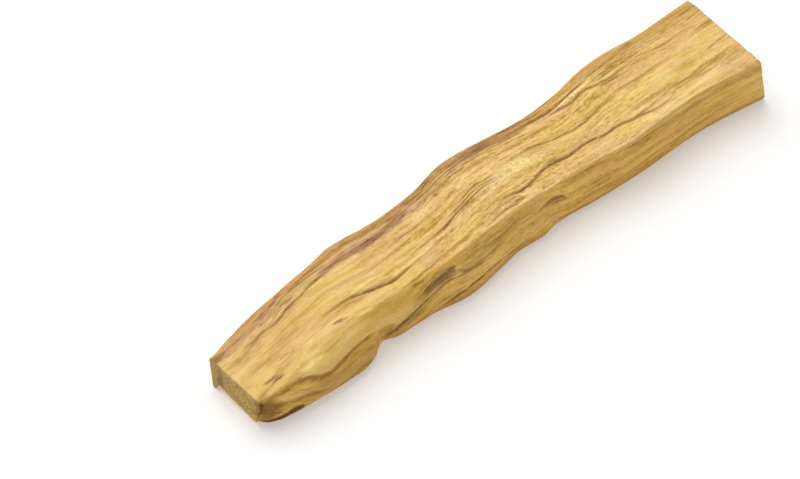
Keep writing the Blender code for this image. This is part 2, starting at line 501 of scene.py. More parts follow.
# Creases, sorted into channels. No two creases of a channel share a face and a place along it.
CREASES: tuple[tuple[Crease, ...], ...] = (
    (
        Crease(Side.TOP, (
            (-23, -5.1, 0.3, 0), (-21, -4.9, 0.25, 0.7), (-19, -4.75, 0.25, 0.7),
            (-17, -4.45, 0.25, 0.6), (-14, -4.25, 0.25, 0.6), (-11, -4.1, 0.25, 0.6),
            (-8, -4, 0.25, 0.5), (-6, -3.7, 0.25, 0.45), (-4, -3.1, 0.25, 0.4),
            (-2, -2.5, 0.25, 0.3), (-1, -2.4, 0.25, 0),
        ), 0.2, 0.3),
        Crease(Side.TOP, (
            (-1, -2.35, 0.25, 0), (0, -2.3, 0.3, 0.4), (2, -2.35, 0.35, 0.6), (3, -2.6, 0.4, 0.9),
            (4, -2.75, 0.4, 1), (5, -2.7, 0.38, 0.9), (6.5, -2.5, 0.34, 0.7), (8, -2.1, 0.42, 0.8),
            (9.5, -1.8, 0.5, 0.9), (11, -1.7, 0.56, 1), (12, -1.9, 0.58, 1), (13, -2.15, 0.56, 1),
            (14, -2.35, 0.5, 0.95), (15.5, -2.35, 0.42, 0.85), (17, -2.3, 0.36, 0.8),
            (19, -2.6, 0.3, 0.8), (21, -3.2, 0.32, 0.74), (23, -3.3, 0.3, 0.74),
            (24.5, -3.5, 0.3, 0.66), (26, -4, 0.35, 0.66), (28, -4.4, 0.35, 0.7),
            (30, -4.8, 0.35, 0.7), (32, -4.9, 0.3, 0.57), (33.5, -4.8, 0.3, 0.25),
            (35, -4.2, 0.3, 0.33), (38, -4.1, 0.28, 0.49), (40, -4.3, 0.28, 0.41),
            (43, -4.5, 0.28, 0.41), (45, -4.2, 0.25, 0.25), (47, -4.1, 0.25, 0),
        ), 0.36, 0.8),
        Crease(Side.FRONT, (
            (-49, 5.6, 0.35, 0), (-47.5, 6.2, 0.4, 0.5), (-46, 6.4, 0.45, 0.85),
            (-45, 6.5, 0.5, 0.7), (-44, 6.8, 0.45, 0.6), (-43, 6.7, 0.5, 0.7),
            (-42, 6.4, 0.55, 0.8), (-41, 5.9, 0.6, 0.85), (-40, 5.3, 0.6, 0.95),
            (-39, 4.9, 0.6, 1), (-37.5, 4.7, 0.58, 1), (-36, 5, 0.52, 0.95), (-34, 5.3, 0.46, 0.9),
            (-32.5, 5.4, 0.4, 0.85), (-31, 5.4, 0.35, 0.8), (-30, 5.3, 0.35, 0.8),
            (-29.2, 5.1, 0.35, 0.4), (-28.4, 4.9, 0.3, 0),
        ), 0.3, 0.35),
        Crease(Side.FRONT, (
            (-26.3, 0.9, 0.5, 0), (-25, 1.6, 0.6, 0.6), (-24, 2.1, 0.6, 0.9), (-23, 2.6, 0.55, 1),
            (-22, 2.9, 0.55, 1), (-21, 3.1, 0.55, 1), (-20, 3.5, 0.5, 1), (-19, 3.9, 0.5, 1),
            (-18, 4.4, 0.45, 1), (-17, 5, 0.4, 1), (-16, 5.5, 0.4, 0.9), (-15, 5.8, 0.35, 0.5),
            (-14, 6.1, 0.3, 0),
        ), 0.3, 0.8),
        Crease(Side.BACK, (
            (-46, 3.2, 0.4, 0), (-42, 3.4, 0.4, 0.7), (-30, 3.8, 0.4, 0.8), (-16, 5, 0.4, 0.7),
            (-4, 4.6, 0.4, 0.6), (8, 5.6, 0.4, 0.5), (14, 5.9, 0.4, 0),
        ), 0.35, 0.6),
        Crease(Side.UNDER, (
            (-38, 2, 0.35, 0), (-30, 2.4, 0.35, 0.7), (-14, 1.4, 0.35, 0.7), (2, 2.6, 0.35, 0.6),
            (16, 2.2, 0.35, 0),
        ), 0, 0.5),
    ),
    (
        Crease(Side.TOP, (
            (-35, -0.75, 0.4, 0), (-33, -0.85, 0.35, 0.4), (-30, -1, 0.3, 0.65),
            (-28, -1.4, 0.3, 0.8), (-26, -1.9, 0.3, 0.9), (-24, -2.3, 0.3, 1), (-22, -2.7, 0.3, 1),
            (-20.5, -2.75, 0.3, 0.6), (-18, -2.4, 0.25, 0.35), (-14, -2.2, 0.25, 0.2),
            (-10, -1.8, 0.25, 0),
        ), 0.3, 0.6),
        Crease(Side.TOP, (
            (-6, -4.65, 0.2, 0), (-4, -4.6, 0.22, 0.6), (-2, -4.3, 0.22, 0.7),
            (0, -4.25, 0.25, 0.8), (1.5, -4.45, 0.22, 0.7), (3, -4.7, 0.2, 0.4),
            (4.5, -4.8, 0.2, 0),
        ), 0.2, 0.6),
        Crease(Side.TOP, (
            (24.5, -3.6, 0.2, 0), (26, -3.85, 0.25, 0.6), (28, -4, 0.3, 0.6), (30, -4, 0.28, 0.5),
            (32, -3.6, 0.25, 0.4), (35, -3.3, 0.25, 0.5), (38, -3.4, 0.28, 0.7),
            (39.5, -3.35, 0.28, 0.7), (41, -3.2, 0.28, 0.6), (43, -3.1, 0.28, 0.6),
            (45, -3.3, 0.28, 0.5), (48, -3.3, 0.25, 0.2), (50, -3.3, 0.25, 0),
        ), 0.2, 0.5),
        Crease(Side.FRONT, (
            (-49, 3.6, 0.45, 0), (-47, 3.8, 0.5, 0.5), (-45, 3.6, 0.5, 0.6), (-43, 3.3, 0.45, 0.6),
            (-41, 2.7, 0.45, 0.6), (-39, 2.2, 0.4, 0.5), (-37, 1.9, 0.4, 0),
        ), 0.15, 0.45),
        Crease(Side.FRONT, (
            (-16.5, 1.2, 0.35, 0), (-14, 1.5, 0.35, 0.7), (-12, 1.9, 0.38, 0.9),
            (-10, 2.25, 0.38, 1), (-8, 2.3, 0.38, 0.95), (-6, 2.3, 0.35, 0.9),
            (-4, 2.15, 0.32, 0.8), (-2, 1.85, 0.3, 0.7), (0, 1.5, 0.3, 0.7), (2, 1.3, 0.3, 0.4),
            (4, 1.1, 0.3, 0),
        ), 0.25, 0.7),
        Crease(Side.FRONT, (
            (17, 8.2, 0.4, 0), (20, 8.6, 0.4, 0.2), (23, 8.4, 0.5, 0.5), (25, 8.2, 0.5, 0.45),
            (28, 8.5, 0.5, 0.25), (31, 8.4, 0.5, 0.35), (34, 8.2, 0.5, 0.35), (37, 7.9, 0.5, 0.4),
            (41, 8.3, 0.5, 0.2), (45, 8.6, 0.4, 0.25), (49, 9, 0.4, 0.15), (51, 8.6, 0.4, 0),
        ), 0.1, 0.3),
        Crease(Side.BACK, (
            (-2, 2.8, 0.4, 0), (2, 2.6, 0.4, 0.7), (14, 3.4, 0.4, 0.7), (24, 3, 0.4, 0.8),
            (36, 4.6, 0.4, 0.7), (46, 4.4, 0.4, 0),
        ), 0.35, 0.6),
    ),
    (
        Crease(Side.TOP, (
            (-46, 3.4, 0.25, 0), (-44, 3.3, 0.3, 0.5), (-42, 3.5, 0.3, 0.7), (-40, 3.3, 0.28, 0.7),
            (-38, 3.7, 0.28, 0.7), (-36, 4.1, 0.28, 0.7), (-34, 4.3, 0.28, 0.75),
            (-32, 4.7, 0.28, 0.8), (-30.5, 4.8, 0.28, 0.8), (-29, 4.9, 0.25, 0.5),
            (-27, 5, 0.25, 0),
        ), 0.2, 0.55),
        Crease(Side.TOP, (
            (-17, -0.85, 0.25, 0), (-15, -0.8, 0.28, 0.5), (-13, -0.7, 0.28, 0.6),
            (-11, -0.6, 0.3, 0.85), (-9.6, -0.5, 0.34, 1), (-8, -0.1, 0.3, 0.9), (-6, 0.3, 0.3, 1),
            (-4, 0.6, 0.3, 1), (-2, 1, 0.28, 0.8), (0, 1.2, 0.28, 0.6), (2, 1.1, 0.28, 0.4),
            (5, 0.8, 0.25, 0),
        ), 0.25, 0.75),
        Crease(Side.TOP, (
            (8, 7.2, 0.3, 0), (11, 6.7, 0.35, 0.51), (14, 6.3, 0.38, 0.68), (16, 6, 0.4, 0.77),
            (18, 5.95, 0.38, 0.81), (20, 6.2, 0.38, 0.85), (22, 6.5, 0.38, 0.85),
            (24, 6.65, 0.35, 0.85), (25.5, 6.75, 0.3, 0.59), (27.5, 7, 0.3, 0.34),
            (31, 7.3, 0.3, 0.17), (33, 7.6, 0.3, 0),
        ), 0.3, 0.75),
        Crease(Side.TOP, (
            (46.5, 5.3, 0.2, 0), (47.5, 5.4, 0.22, 0.7), (49, 5.4, 0.22, 0.5),
            (50.5, 5.4, 0.2, 0.2),
        ), 0.1, 0.5),
        Crease(Side.FRONT, (
            (3.6, 6.4, 0.3, 0), (5, 6.6, 0.35, 0.4), (6, 6.8, 0.4, 0.6), (7, 7, 0.4, 0.7),
            (8, 6.9, 0.4, 0.7), (9, 6.5, 0.4, 0.65), (9.9, 5.9, 0.35, 0.6), (10.4, 5.3, 0.25, 0.3),
            (10.9, 4.9, 0.25, 0),
        ), 0.1, 0.55),
        Crease(Side.FRONT, (
            (11.5, 2.4, 0.35, 0), (15, 2.9, 0.35, 0.35), (21, 2.8, 0.35, 0.4),
            (28, 3.6, 0.35, 0.35), (35, 3.1, 0.35, 0.3), (43, 3.6, 0.35, 0.35), (49, 3.3, 0.35, 0),
        ), 0.15, 0.3),
    ),
    (
        Crease(Side.TOP, (
            (-40, 4.2, 0.2, 0), (-39, 4.3, 0.25, 0.6), (-38, 4.5, 0.25, 0.5), (-36.5, 4.3, 0.2, 0),
        ), 0.1, 0.5),
        Crease(Side.TOP, (
            (-14, 6.1, 0.25, 0), (-12, 6.15, 0.28, 0.5), (-10, 6.35, 0.28, 0.6),
            (-9, 6.5, 0.3, 0.8), (-8, 6.6, 0.28, 0.7), (-6, 6.85, 0.25, 0.7),
            (-4, 7.25, 0.25, 0.6), (-2, 7.45, 0.25, 0.7), (0, 7.7, 0.25, 0.6), (2, 7.9, 0.25, 0.4),
            (4, 8, 0.25, 0),
        ), 0.1, 0.6),
        Crease(Side.TOP, (
            (14, 5.6, 0.25, 0), (17, 5.3, 0.25, 0.49), (18.5, 5.2, 0.28, 0.66),
            (20, 5.05, 0.3, 0.74), (21.5, 4.9, 0.32, 0.82), (23, 5.15, 0.32, 0.82),
            (24, 5.4, 0.3, 0.82), (25, 5.35, 0.3, 0.82), (26, 5, 0.35, 0.82),
            (27, 4.7, 0.38, 0.82), (28.5, 4.5, 0.4, 0.82), (30, 4.45, 0.42, 0.74),
            (31.5, 4.7, 0.35, 0.66), (33, 4.7, 0.28, 0.49), (35, 4.9, 0.25, 0.49),
            (36.5, 5, 0.25, 0.49), (38, 4.65, 0.25, 0.49), (40, 4.2, 0.25, 0.49),
            (42, 4.15, 0.22, 0.33), (44, 4.25, 0.22, 0.41), (46, 4.2, 0.2, 0.25),
            (48, 4.2, 0.2, 0),
        ), 0.3, 0.65),
        Crease(Side.FRONT, (
            (-13, 7.1, 0.3, 0), (-12, 6.6, 0.35, 0.6), (-11, 5.95, 0.35, 0.6),
            (-9, 5.65, 0.35, 0.5), (-7, 5.6, 0.3, 0.45), (-5, 5.7, 0.3, 0.5),
            (-3.5, 5.9, 0.3, 0.3), (-2, 6.1, 0.3, 0),
        ), 0.15, 0.45),
        Crease(Side.TOP, (
            (-34.5, 6.2, 0.2, 0), (-32, 6.4, 0.28, 0.48), (-29, 6.5, 0.28, 0.56),
            (-26, 6.5, 0.28, 0.48), (-23, 6.4, 0.28, 0.48), (-19, 6.1, 0.25, 0.4),
            (-16, 6.2, 0.2, 0),
        ), 0.1, 0.5),
    ),
    (
        Crease(Side.TOP, (
            (-17.5, 2.6, 0.18, 0), (-16, 2.6, 0.2, 0.45), (-13, 2.55, 0.2, 0.4),
            (-10, 2.9, 0.2, 0.2), (-8.2, 3.1, 0.2, 0),
        ), 0.1, 0.35),
        Crease(Side.TOP, (
            (-8, 0.9, 0.25, 0), (-6, 1.2, 0.28, 0.7), (-4, 1.8, 0.28, 0.75),
            (-2, 2.25, 0.28, 0.85), (-1, 2.35, 0.28, 0.85), (0.3, 2.2, 0.28, 0.75),
            (1.5, 2, 0.28, 0.4), (3, 1.9, 0.25, 0),
        ), 0.22, 0.75),
        Crease(Side.TOP, (
            (3, 2.7, 0.2, 0), (5, 2.6, 0.2, 0.3), (8, 2.55, 0.22, 0.4), (10, 2.4, 0.25, 0.5),
            (12, 2, 0.28, 0.8), (13, 1.7, 0.28, 0.85), (14.5, 1.3, 0.28, 0.8),
            (16, 1.1, 0.25, 0.6), (18, 0.8, 0.22, 0.5), (19.5, 0.8, 0.25, 0.8),
            (21, 0.95, 0.28, 0.9), (22.5, 1.05, 0.25, 0.8), (24, 1.3, 0.22, 0.6),
            (26, 1.3, 0.22, 0.5), (28, 1.15, 0.2, 0.2), (31, 1, 0.2, 0),
        ), 0.25, 0.6),
        Crease(Side.TOP, (
            (44.5, -1.25, 0.2, 0), (46, -1.15, 0.25, 0.7), (48, -1.05, 0.22, 0.6),
            (50, -0.9, 0.2, 0.5), (51, -0.9, 0.2, 0.3),
        ), 0.15, 0.5),
    ),
    (
        Crease(Side.TOP, (
            (-9, 0.35, 0.22, 0), (-7, 0.6, 0.25, 0.7), (-5, 0.95, 0.27, 0.8), (-3, 1.4, 0.27, 0.8),
            (-1, 1.75, 0.25, 0.7), (1, 1.6, 0.25, 0.4), (3, 1.5, 0.22, 0),
        ), 0.15, 0.6),
        Crease(Side.TOP, (
            (3, 5.6, 0.18, 0), (5, 5, 0.2, 0.5), (8, 4.5, 0.2, 0.4), (11, 4.45, 0.2, 0.4),
            (13, 4.2, 0.2, 0.5), (15, 3.9, 0.2, 0.3), (17, 3.8, 0.2, 0),
        ), 0.1, 0.35),
        Crease(Side.TOP, (
            (26.5, 4.3, 0.2, 0), (28, 4.1, 0.28, 0.7), (30, 4, 0.28, 0.7), (31.5, 3.85, 0.25, 0.6),
            (33, 3.7, 0.2, 0.3), (35, 3.7, 0.2, 0),
        ), 0.2, 0.6),
        Crease(Side.TOP, (
            (-48, -0.5, 0.2, 0), (-46, -0.6, 0.22, 0.25), (-43.5, -0.5, 0.22, 0.17),
            (-41, -0.5, 0.22, 0.28), (-38, -0.5, 0.22, 0.19), (-36, -0.4, 0.2, 0),
        ), 0.08, 0.45),
    ),
    (
        Crease(Side.TOP, (
            (-45.5, -2.6, 0.2, 0), (-43.5, -2.6, 0.24, 0.28), (-41, -2.6, 0.24, 0.17),
            (-38.5, -2.4, 0.24, 0.28), (-36, -2.3, 0.24, 0.25), (-34, -2.2, 0.2, 0),
        ), 0.08, 0.45),
        Crease(Side.TOP, (
            (-28, 1.2, 0.2, 0), (-24, 1, 0.24, 0.36), (-20, 1.2, 0.24, 0.32),
            (-16, 1.5, 0.22, 0.32), (-12, 1.9, 0.2, 0),
        ), 0.08, 0.4),
        Crease(Side.TOP, (
            (20, 0.1, 0.2, 0), (24, 0.25, 0.22, 0.4), (26, 0.2, 0.22, 0.4), (29, 0.1, 0.2, 0.3),
            (31, 0.15, 0.2, 0.3), (33, -0.4, 0.2, 0.3), (35, -0.6, 0.2, 0),
        ), 0.1, 0.4),
    ),
    (
        Crease(Side.TOP, (
            (-47, 1.5, 0.2, 0), (-45, 1.4, 0.24, 0.28), (-42, 1.3, 0.24, 0.19),
            (-39, 1.6, 0.24, 0.28), (-36, 1.7, 0.24, 0.28), (-33, 2.1, 0.22, 0.22),
            (-30, 2.4, 0.2, 0),
        ), 0.08, 0.4),
        Crease(Side.TOP, (
            (17, -1.3, 0.2, 0), (20, -0.9, 0.22, 0.5), (22, -0.7, 0.22, 0.5), (24, -0.5, 0.2, 0.4),
            (26, -0.6, 0.2, 0.3), (28, -0.9, 0.2, 0),
        ), 0.12, 0.4),
        Crease(Side.TOP, (
            (28, 2.1, 0.2, 0), (29.5, 2, 0.2, 0.35), (31, 1.9, 0.2, 0.3), (33, 1.6, 0.2, 0.3),
            (36, 1.9, 0.2, 0.3), (39, 1.9, 0.2, 0),
        ), 0.1, 0.35),
    ),
)


class Stain(Enum):
    """The tints that patches of the wood take. The pale one also lays painted highlights along the front
    arris.
    """

    HEART = 0
    BROWN = 1
    OLIVE = 2
    PALE = 3
    WARM = 4
    KNOT = 5
    DARK = 6


STAINS: Mapping[Stain, tuple[Streak, ...]] = {
    Stain.HEART: (
        Streak(Side.TOP, (
            (-51, 5.9, 2, 0.9), (-46, 6, 2.1, 0.8), (-40, 6.2, 2.1, 0.85), (-34, 6.4, 2.2, 0.8),
            (-28, 6.8, 2.3, 0.9), (-22, 7, 2.4, 1), (-17, 7, 2.4, 1), (-13, 7.1, 2.2, 1),
            (-9, 7.5, 2.1, 1), (-5, 8.1, 2, 1), (0, 8.7, 1.9, 0.9), (4, 9, 1.7, 0.8),
            (8, 9, 1.3, 0.5), (12, 8.8, 0.9, 0),
        )),
        Streak(Side.FRONT, (
            (5.6, 5.9, 0.4, 0), (7, 6.2, 0.8, 0.9), (8.5, 6, 0.9, 1), (9.9, 5.5, 0.8, 0.8),
            (11, 5, 0.3, 0),
        )),
        Streak(Side.BACK, (
            (-51, 5.6, 2.4, 1), (-38, 6.6, 2.6, 0.9), (-20, 7.2, 2.8, 1), (-4, 8, 2.4, 0.8),
            (6, 8.2, 2, 0.4), (18, 8, 2, 0.2), (34, 7, 2, 0.4), (52, 7.4, 2, 0.2),
        )),
    ),
    Stain.BROWN: (
        Streak(Side.TOP, (
            (-43, 5.8, 0.4, 0), (-41.5, 5.8, 0.6, 0.8), (-39, 5.9, 0.6, 0.9),
            (-37.5, 6.6, 0.5, 0.6), (-36, 7.1, 0.5, 0.8), (-35, 7, 0.4, 0),
        )),
        Streak(Side.TOP, (
            (-31, 5.3, 0.3, 0), (-29, 5.5, 0.45, 0.8), (-27, 5.4, 0.5, 0.8), (-24, 5.5, 0.6, 0.7),
            (-22, 5.3, 0.7, 0.9), (-19, 5.2, 0.6, 0.8), (-16, 5.4, 0.6, 0.8), (-14, 5.7, 0.6, 0.9),
            (-12.5, 5.8, 0.6, 0.9), (-11, 5.7, 0.5, 0.4), (-9.5, 5.6, 0.4, 0),
        )),
        Streak(Side.TOP, (
            (-25, 8.6, 0.5, 0), (-22, 8.6, 0.6, 0.8), (-18, 8.7, 0.5, 0.6), (-14, 8.8, 0.5, 0.5),
            (-10, 9, 0.4, 0.6), (-6, 9.3, 0.4, 0.5), (-2, 9.8, 0.4, 0.6), (2, 10, 0.4, 0.3),
            (4, 10, 0.4, 0),
        )),
        Streak(Side.TOP, (
            (-2.5, 8.3, 0.6, 0), (-1, 8.2, 1.1, 0.5), (1, 8.1, 1.4, 0.7), (3, 8, 1.6, 0.9),
            (5, 7.9, 1.8, 1), (8, 7.5, 1.8, 1), (10, 7.2, 1.7, 1), (12, 7.1, 1.3, 1),
            (14, 6.9, 1, 0.95), (16, 6.7, 0.8, 0.9), (18, 6.6, 0.65, 0.7), (20, 6.6, 0.6, 0.5),
            (23, 6.8, 0.5, 0.4), (26, 7, 0.4, 0),
        )),
        Streak(Side.TOP, (
            (-12.2, 6.9, 0.5, 0), (-10.5, 6.8, 0.9, 0.9), (-8.8, 6.8, 0.9, 0.95),
            (-7, 7.1, 0.7, 0.5), (-5, 7.6, 0.7, 0.6), (-3, 8, 0.5, 0),
        )),
        Streak(Side.TOP, (
            (26, 4.5, 0.4, 0), (28, 4.4, 0.5, 0.6), (30, 4.3, 0.5, 0.6), (32, 4.3, 0.4, 0.3),
            (34, 4.3, 0.3, 0),
        )),
        Streak(Side.TOP, (
            (25, 7.6, 0.4, 0), (27, 7.5, 0.5, 0.5), (29, 7.4, 0.4, 0.3), (31, 7.7, 0.5, 0.5),
            (33, 7.9, 0.5, 0.6), (35, 8.2, 0.4, 0.3), (37, 8.3, 0.4, 0.8), (38.5, 8.3, 0.3, 0.5),
            (40, 8.4, 0.3, 0.2), (42, 8.4, 0.3, 0),
        )),
        Streak(Side.TOP, (
            (46, 6.9, 0.4, 0), (48, 6.9, 0.6, 0.5), (50.5, 6.9, 0.6, 0.6), (51, 6.9, 0.6, 0.6),
        )),
        Streak(Side.TOP, (
            (-21, -5.2, 0.25, 0), (-20, -5.45, 0.35, 0.7), (-18.8, -5.5, 0.3, 0.7),
            (-18, -5.5, 0.2, 0),
        )),
        Streak(Side.FRONT, (
            (-25, 4.3, 0.8, 0), (-22, 4.7, 1.3, 0.4), (-18, 5.4, 1.8, 0.5), (-13.5, 6.5, 1.7, 0.5),
            (-9, 6.7, 1.6, 0.6), (-4, 6.8, 1.6, 0.65), (-1, 6.9, 1.5, 0.6), (2, 6.9, 1.3, 0.4),
            (5, 7, 1.2, 0.3), (8, 7.7, 1, 0),
        )),
        Streak(Side.FRONT, (
            (-27.4, 1.4, 0.6, 0), (-25.5, 1.8, 1.1, 0.6), (-22, 3.4, 1.3, 0.8),
            (-19.5, 4.3, 1.2, 0.8), (-17.5, 5.1, 1, 0.4), (-15.5, 5.6, 0.6, 0),
        )),
        Streak(Side.FRONT, (
            (-22.5, 5, 0.6, 0), (-20.5, 5.5, 1.2, 0.75), (-18.5, 6.1, 1.5, 0.9),
            (-16, 6.9, 1.5, 0.85), (-13, 7.3, 1.2, 0.6), (-11.2, 7.3, 0.8, 0),
        )),
        Streak(Side.FRONT, (
            (17, 8.4, 0.7, 0), (21, 8.8, 0.9, 0.25), (24, 8.5, 1.1, 0.45), (30, 8.4, 1.1, 0.4),
            (36, 8.1, 1.1, 0.45), (42, 8.2, 1.2, 0.35), (47, 8.2, 1.3, 0.4), (51, 8, 1.2, 0.3),
        )),
        Streak(Side.FRONT, (
            (-21.4, 8.6, 0.25, 0), (-20.2, 8.7, 0.3, 0.7), (-18.9, 8.7, 0.3, 0.7),
            (-18, 8.5, 0.2, 0),
        )),
        Streak(Side.BACK, (
            (-50, 1.4, 1.2, 0.2), (-30, 2, 1.6, 0.6), (-10, 1.8, 1.4, 0.3), (10, 4.6, 1.6, 0.6),
            (30, 1.6, 1.2, 0.4), (50, 2, 1.2, 0.3),
        )),
        Streak(Side.UNDER, (
            (-44, -1, 1, 0), (-30, -1.6, 1.4, 0.5), (-12, -0.4, 1, 0.2), (6, 1, 1.4, 0.5),
            (26, 0.2, 1.2, 0.4), (44, 0.6, 1, 0),
        )),
    ),
    Stain.OLIVE: (
        Streak(Side.TOP, (
            (-10, 5.3, 0.5, 0), (-8, 5.7, 0.8, 0.8), (-5, 6.1, 0.8, 0.8), (-2, 6.6, 0.7, 0.7),
            (1, 6.9, 0.6, 0.5), (4, 7.2, 0.6, 0.3), (8, 8.2, 0.5, 0.5), (12, 8.1, 0.7, 0.7),
            (16, 8.2, 0.7, 0.6), (19, 8.4, 0.5, 0),
        )),
        Streak(Side.TOP, (
            (-50, 2.8, 0.9, 0.4), (-47, 2.6, 1, 0.7), (-44, 2.3, 0.9, 0.6), (-42, 1.8, 0.8, 0),
        )),
        Streak(Side.TOP, (
            (-47, -4, 0.4, 0), (-45.3, -4, 0.5, 0.8), (-44, -4.1, 0.4, 0),
        )),
        Streak(Side.TOP, (
            (-37, -1.7, 0.5, 0), (-35.5, -1.8, 0.6, 0.6), (-34, -2, 0.5, 0.5), (-32, -2.3, 0.4, 0),
        )),
        Streak(Side.TOP, (
            (-44.5, -2.4, 0.4, 0), (-43, -1.9, 0.5, 0.5), (-41, -2, 0.4, 0.3), (-39, -2, 0.3, 0),
        )),
        Streak(Side.TOP, (
            (20, 5.2, 0.5, 0), (23, 5.6, 0.9, 0.5), (27, 5.9, 1, 0.6), (31, 6, 0.9, 0.5),
            (35, 6.2, 0.6, 0),
        )),
        Streak(Side.TOP, (
            (28, 1.6, 0.5, 0), (31, 1.5, 0.9, 0.5), (35, 1.6, 1, 0.6), (39, 1.8, 0.9, 0.5),
            (43, 2, 0.5, 0),
        )),
        Streak(Side.TOP, (
            (25, -2.6, 0.4, 0), (28, -2.8, 0.8, 0.5), (32, -2.9, 0.9, 0.6), (37, -2.7, 0.8, 0.5),
            (42, -2.6, 0.5, 0),
        )),
        Streak(Side.TOP, (
            (42, -5.2, 0.7, 0), (45, -5.4, 1, 0.7), (48, -5.2, 1.1, 0.8), (51, -5.2, 1.1, 0.6),
        )),
        Streak(Side.FRONT, (
            (-49, 2.5, 2.2, 0.3), (-43, 2.9, 2.4, 0.6), (-36, 2.5, 2.3, 0.85),
            (-30, 2.8, 2.2, 0.85), (-27, 3, 2, 0.6), (-22, 2.5, 1.8, 0.65), (-16, 2.4, 1.7, 0.6),
            (-10, 1.9, 1.4, 0.4), (-4, 1.6, 1.2, 0.35), (3, 1.4, 1, 0.2), (8, 1.4, 1, 0),
        )),
    ),
    Stain.PALE: (
        Streak(Side.TOP, (
            (-5, -0.3, 0.5, 0), (-3, 0, 0.7, 0.6), (0, 0.5, 0.9, 0.7), (3, 1, 1, 0.8),
            (6, 1.2, 1.1, 0.9), (9, 0.8, 1, 0.8), (12, 0.2, 0.7, 0.3), (15, 0.2, 0.5, 0),
        )),
        Streak(Side.TOP, (
            (18.5, 5.75, 0.2, 0), (20, 5.75, 0.3, 1), (22.5, 5.85, 0.35, 1), (25, 6.1, 0.3, 0.8),
            (27, 6.2, 0.3, 0.4), (30, 6.3, 0.4, 0.2), (32, 6.3, 0.3, 0),
        )),
        Streak(Side.TOP, (
            (-29, -0.4, 0.3, 0), (-27, -0.4, 0.4, 0.8), (-24, -0.5, 0.4, 0.8),
            (-22, -0.9, 0.3, 0.3), (-20, -1, 0.3, 0),
        )),
        Streak(Side.TOP, (
            (-23, -1.9, 0.25, 0), (-21, -2.1, 0.3, 0.9), (-17, -1.9, 0.3, 0.8),
            (-12, -1.5, 0.35, 0.7), (-7, -1, 0.4, 0.7), (-3, -0.2, 0.4, 0.5), (0, 0, 0.4, 0.3),
            (3, 0.2, 0.4, 0),
        )),
        Streak(Side.TOP, (
            (-14, 3.7, 0.5, 0), (-12, 3.7, 0.6, 0.7), (-9, 3.8, 0.5, 0.5), (-6, 4, 0.4, 0),
        )),
        Streak(Side.TOP, (
            (-4, 3.7, 0.4, 0), (-3, 4, 0.5, 0.6), (-1, 4.8, 0.4, 0.5), (1, 5.2, 0.4, 0.4),
            (4, 5.4, 0.4, 0),
        )),
        Streak(Side.TOP, (
            (31, -0.7, 0.6, 0), (35, -0.8, 0.9, 0.4), (38, -1, 0.7, 0.25), (41, -1, 0.5, 0),
        )),
        Streak(Side.TOP, (
            (42, 0.4, 0.5, 0), (44, 0.4, 0.6, 0.35), (47, 0.2, 0.5, 0.25), (50, 0.3, 0.5, 0),
        )),
        Streak(Side.TOP, (
            (24, -4.8, 0.4, 0), (28, -5.6, 0.5, 0.6), (33, -5.9, 0.5, 0.6), (37, -5.5, 0.5, 0.5),
            (41, -5.6, 0.5, 0.4), (44, -6.2, 0.4, 0),
        )),
        # Painted highlight along the front arris.
        Streak(Side.TOP, (
            (17.5, -6.4, 0.3, 0), (19, -6.3, 0.35, 0.9), (22, -6.5, 0.3, 0.9),
            (24, -6.7, 0.3, 0.7), (28, -6.7, 0.2, 0.6), (34, -6.6, 0.2, 0.8), (38, -6.6, 0.2, 0.8),
            (42, -7.3, 0.2, 0.5), (46, -7.6, 0.2, 0.3), (49, -8, 0.2, 0),
        )),
        # Painted highlight along the front arris.
        Streak(Side.TOP, (
            (-41, -5.8, 0.3, 0), (-39, -5.7, 0.4, 0.4), (-36, -5.3, 0.35, 0.5),
            (-33, -4.7, 0.3, 0.5), (-30, -4.4, 0.3, 0.5), (-27, -4.5, 0.3, 0.45),
            (-24, -4.6, 0.25, 0.2), (-22, -4.7, 0.2, 0),
        )),
        # Painted highlight along the front arris.
        Streak(Side.TOP, (
            (-10, -5.2, 0.2, 0), (-4, -5.1, 0.25, 0.6), (2, -4.9, 0.25, 0.7), (8, -5.3, 0.25, 0.6),
            (14, -5.7, 0.2, 0),
        )),
        # Painted highlight along the front arris, on the front face's side of it.
        Streak(Side.FRONT, (
            (-46, 7.3, 0.8, 0), (-42, 7.6, 1, 0.7), (-36.4, 8.2, 1.2, 0.8), (-30.2, 8.4, 1, 0.6),
            (-26.2, 8.7, 0.6, 0),
        )),
        Streak(Side.FRONT, (
            (-14, 4.1, 0.8, 0), (-10, 4.3, 0.9, 0.5), (-4, 4.1, 0.9, 0.4), (0, 3.9, 0.8, 0),
        )),
        Streak(Side.FRONT, (
            (4, 3.1, 0.3, 0), (6, 3.5, 0.35, 0.5), (7.6, 3.3, 0.3, 0),
        )),
    ),
    Stain.WARM: (
        Streak(Side.TOP, (
            (-51, 5.2, 0.8, 1), (-49.4, 5.2, 0.7, 1), (-48, 5.2, 0.6, 0.3), (-47, 5.2, 0.5, 0),
        )),
        Streak(Side.TOP, (
            (-36, 6.5, 0.8, 0), (-32, 6.6, 0.9, 0.5), (-28, 7.2, 0.8, 0.5), (-24, 7.3, 0.6, 0.3),
            (-20, 7, 0.8, 0.6), (-16, 7.2, 0.8, 0.7), (-12, 7.4, 0.7, 0.6), (-8, 7.9, 0.6, 0.7),
            (-4, 8.6, 0.5, 0.7), (0, 9, 0.5, 0.5), (2, 9.2, 0.4, 0),
        )),
        Streak(Side.TOP, (
            (8, 8.6, 0.6, 0), (14, 8.3, 1.1, 0.8), (20, 8.1, 1.5, 1), (26, 8.2, 1.7, 1),
            (30, 8.2, 1.8, 1), (33, 8.2, 1.8, 1), (37, 7.8, 1.8, 1), (41, 7.7, 1.7, 1),
            (45, 7.6, 1.6, 1), (51, 7.6, 1.5, 1),
        )),
        Streak(Side.TOP, (
            (29, 1, 0.3, 0), (30, 1, 0.5, 0.7), (31.5, 0.9, 0.5, 0.7), (33, 0.8, 0.3, 0),
        )),
        Streak(Side.TOP, (
            (38, -3.7, 0.3, 0), (40, -3.75, 0.45, 0.7), (43, -3.8, 0.4, 0.7), (45, -3.8, 0.3, 0),
        )),
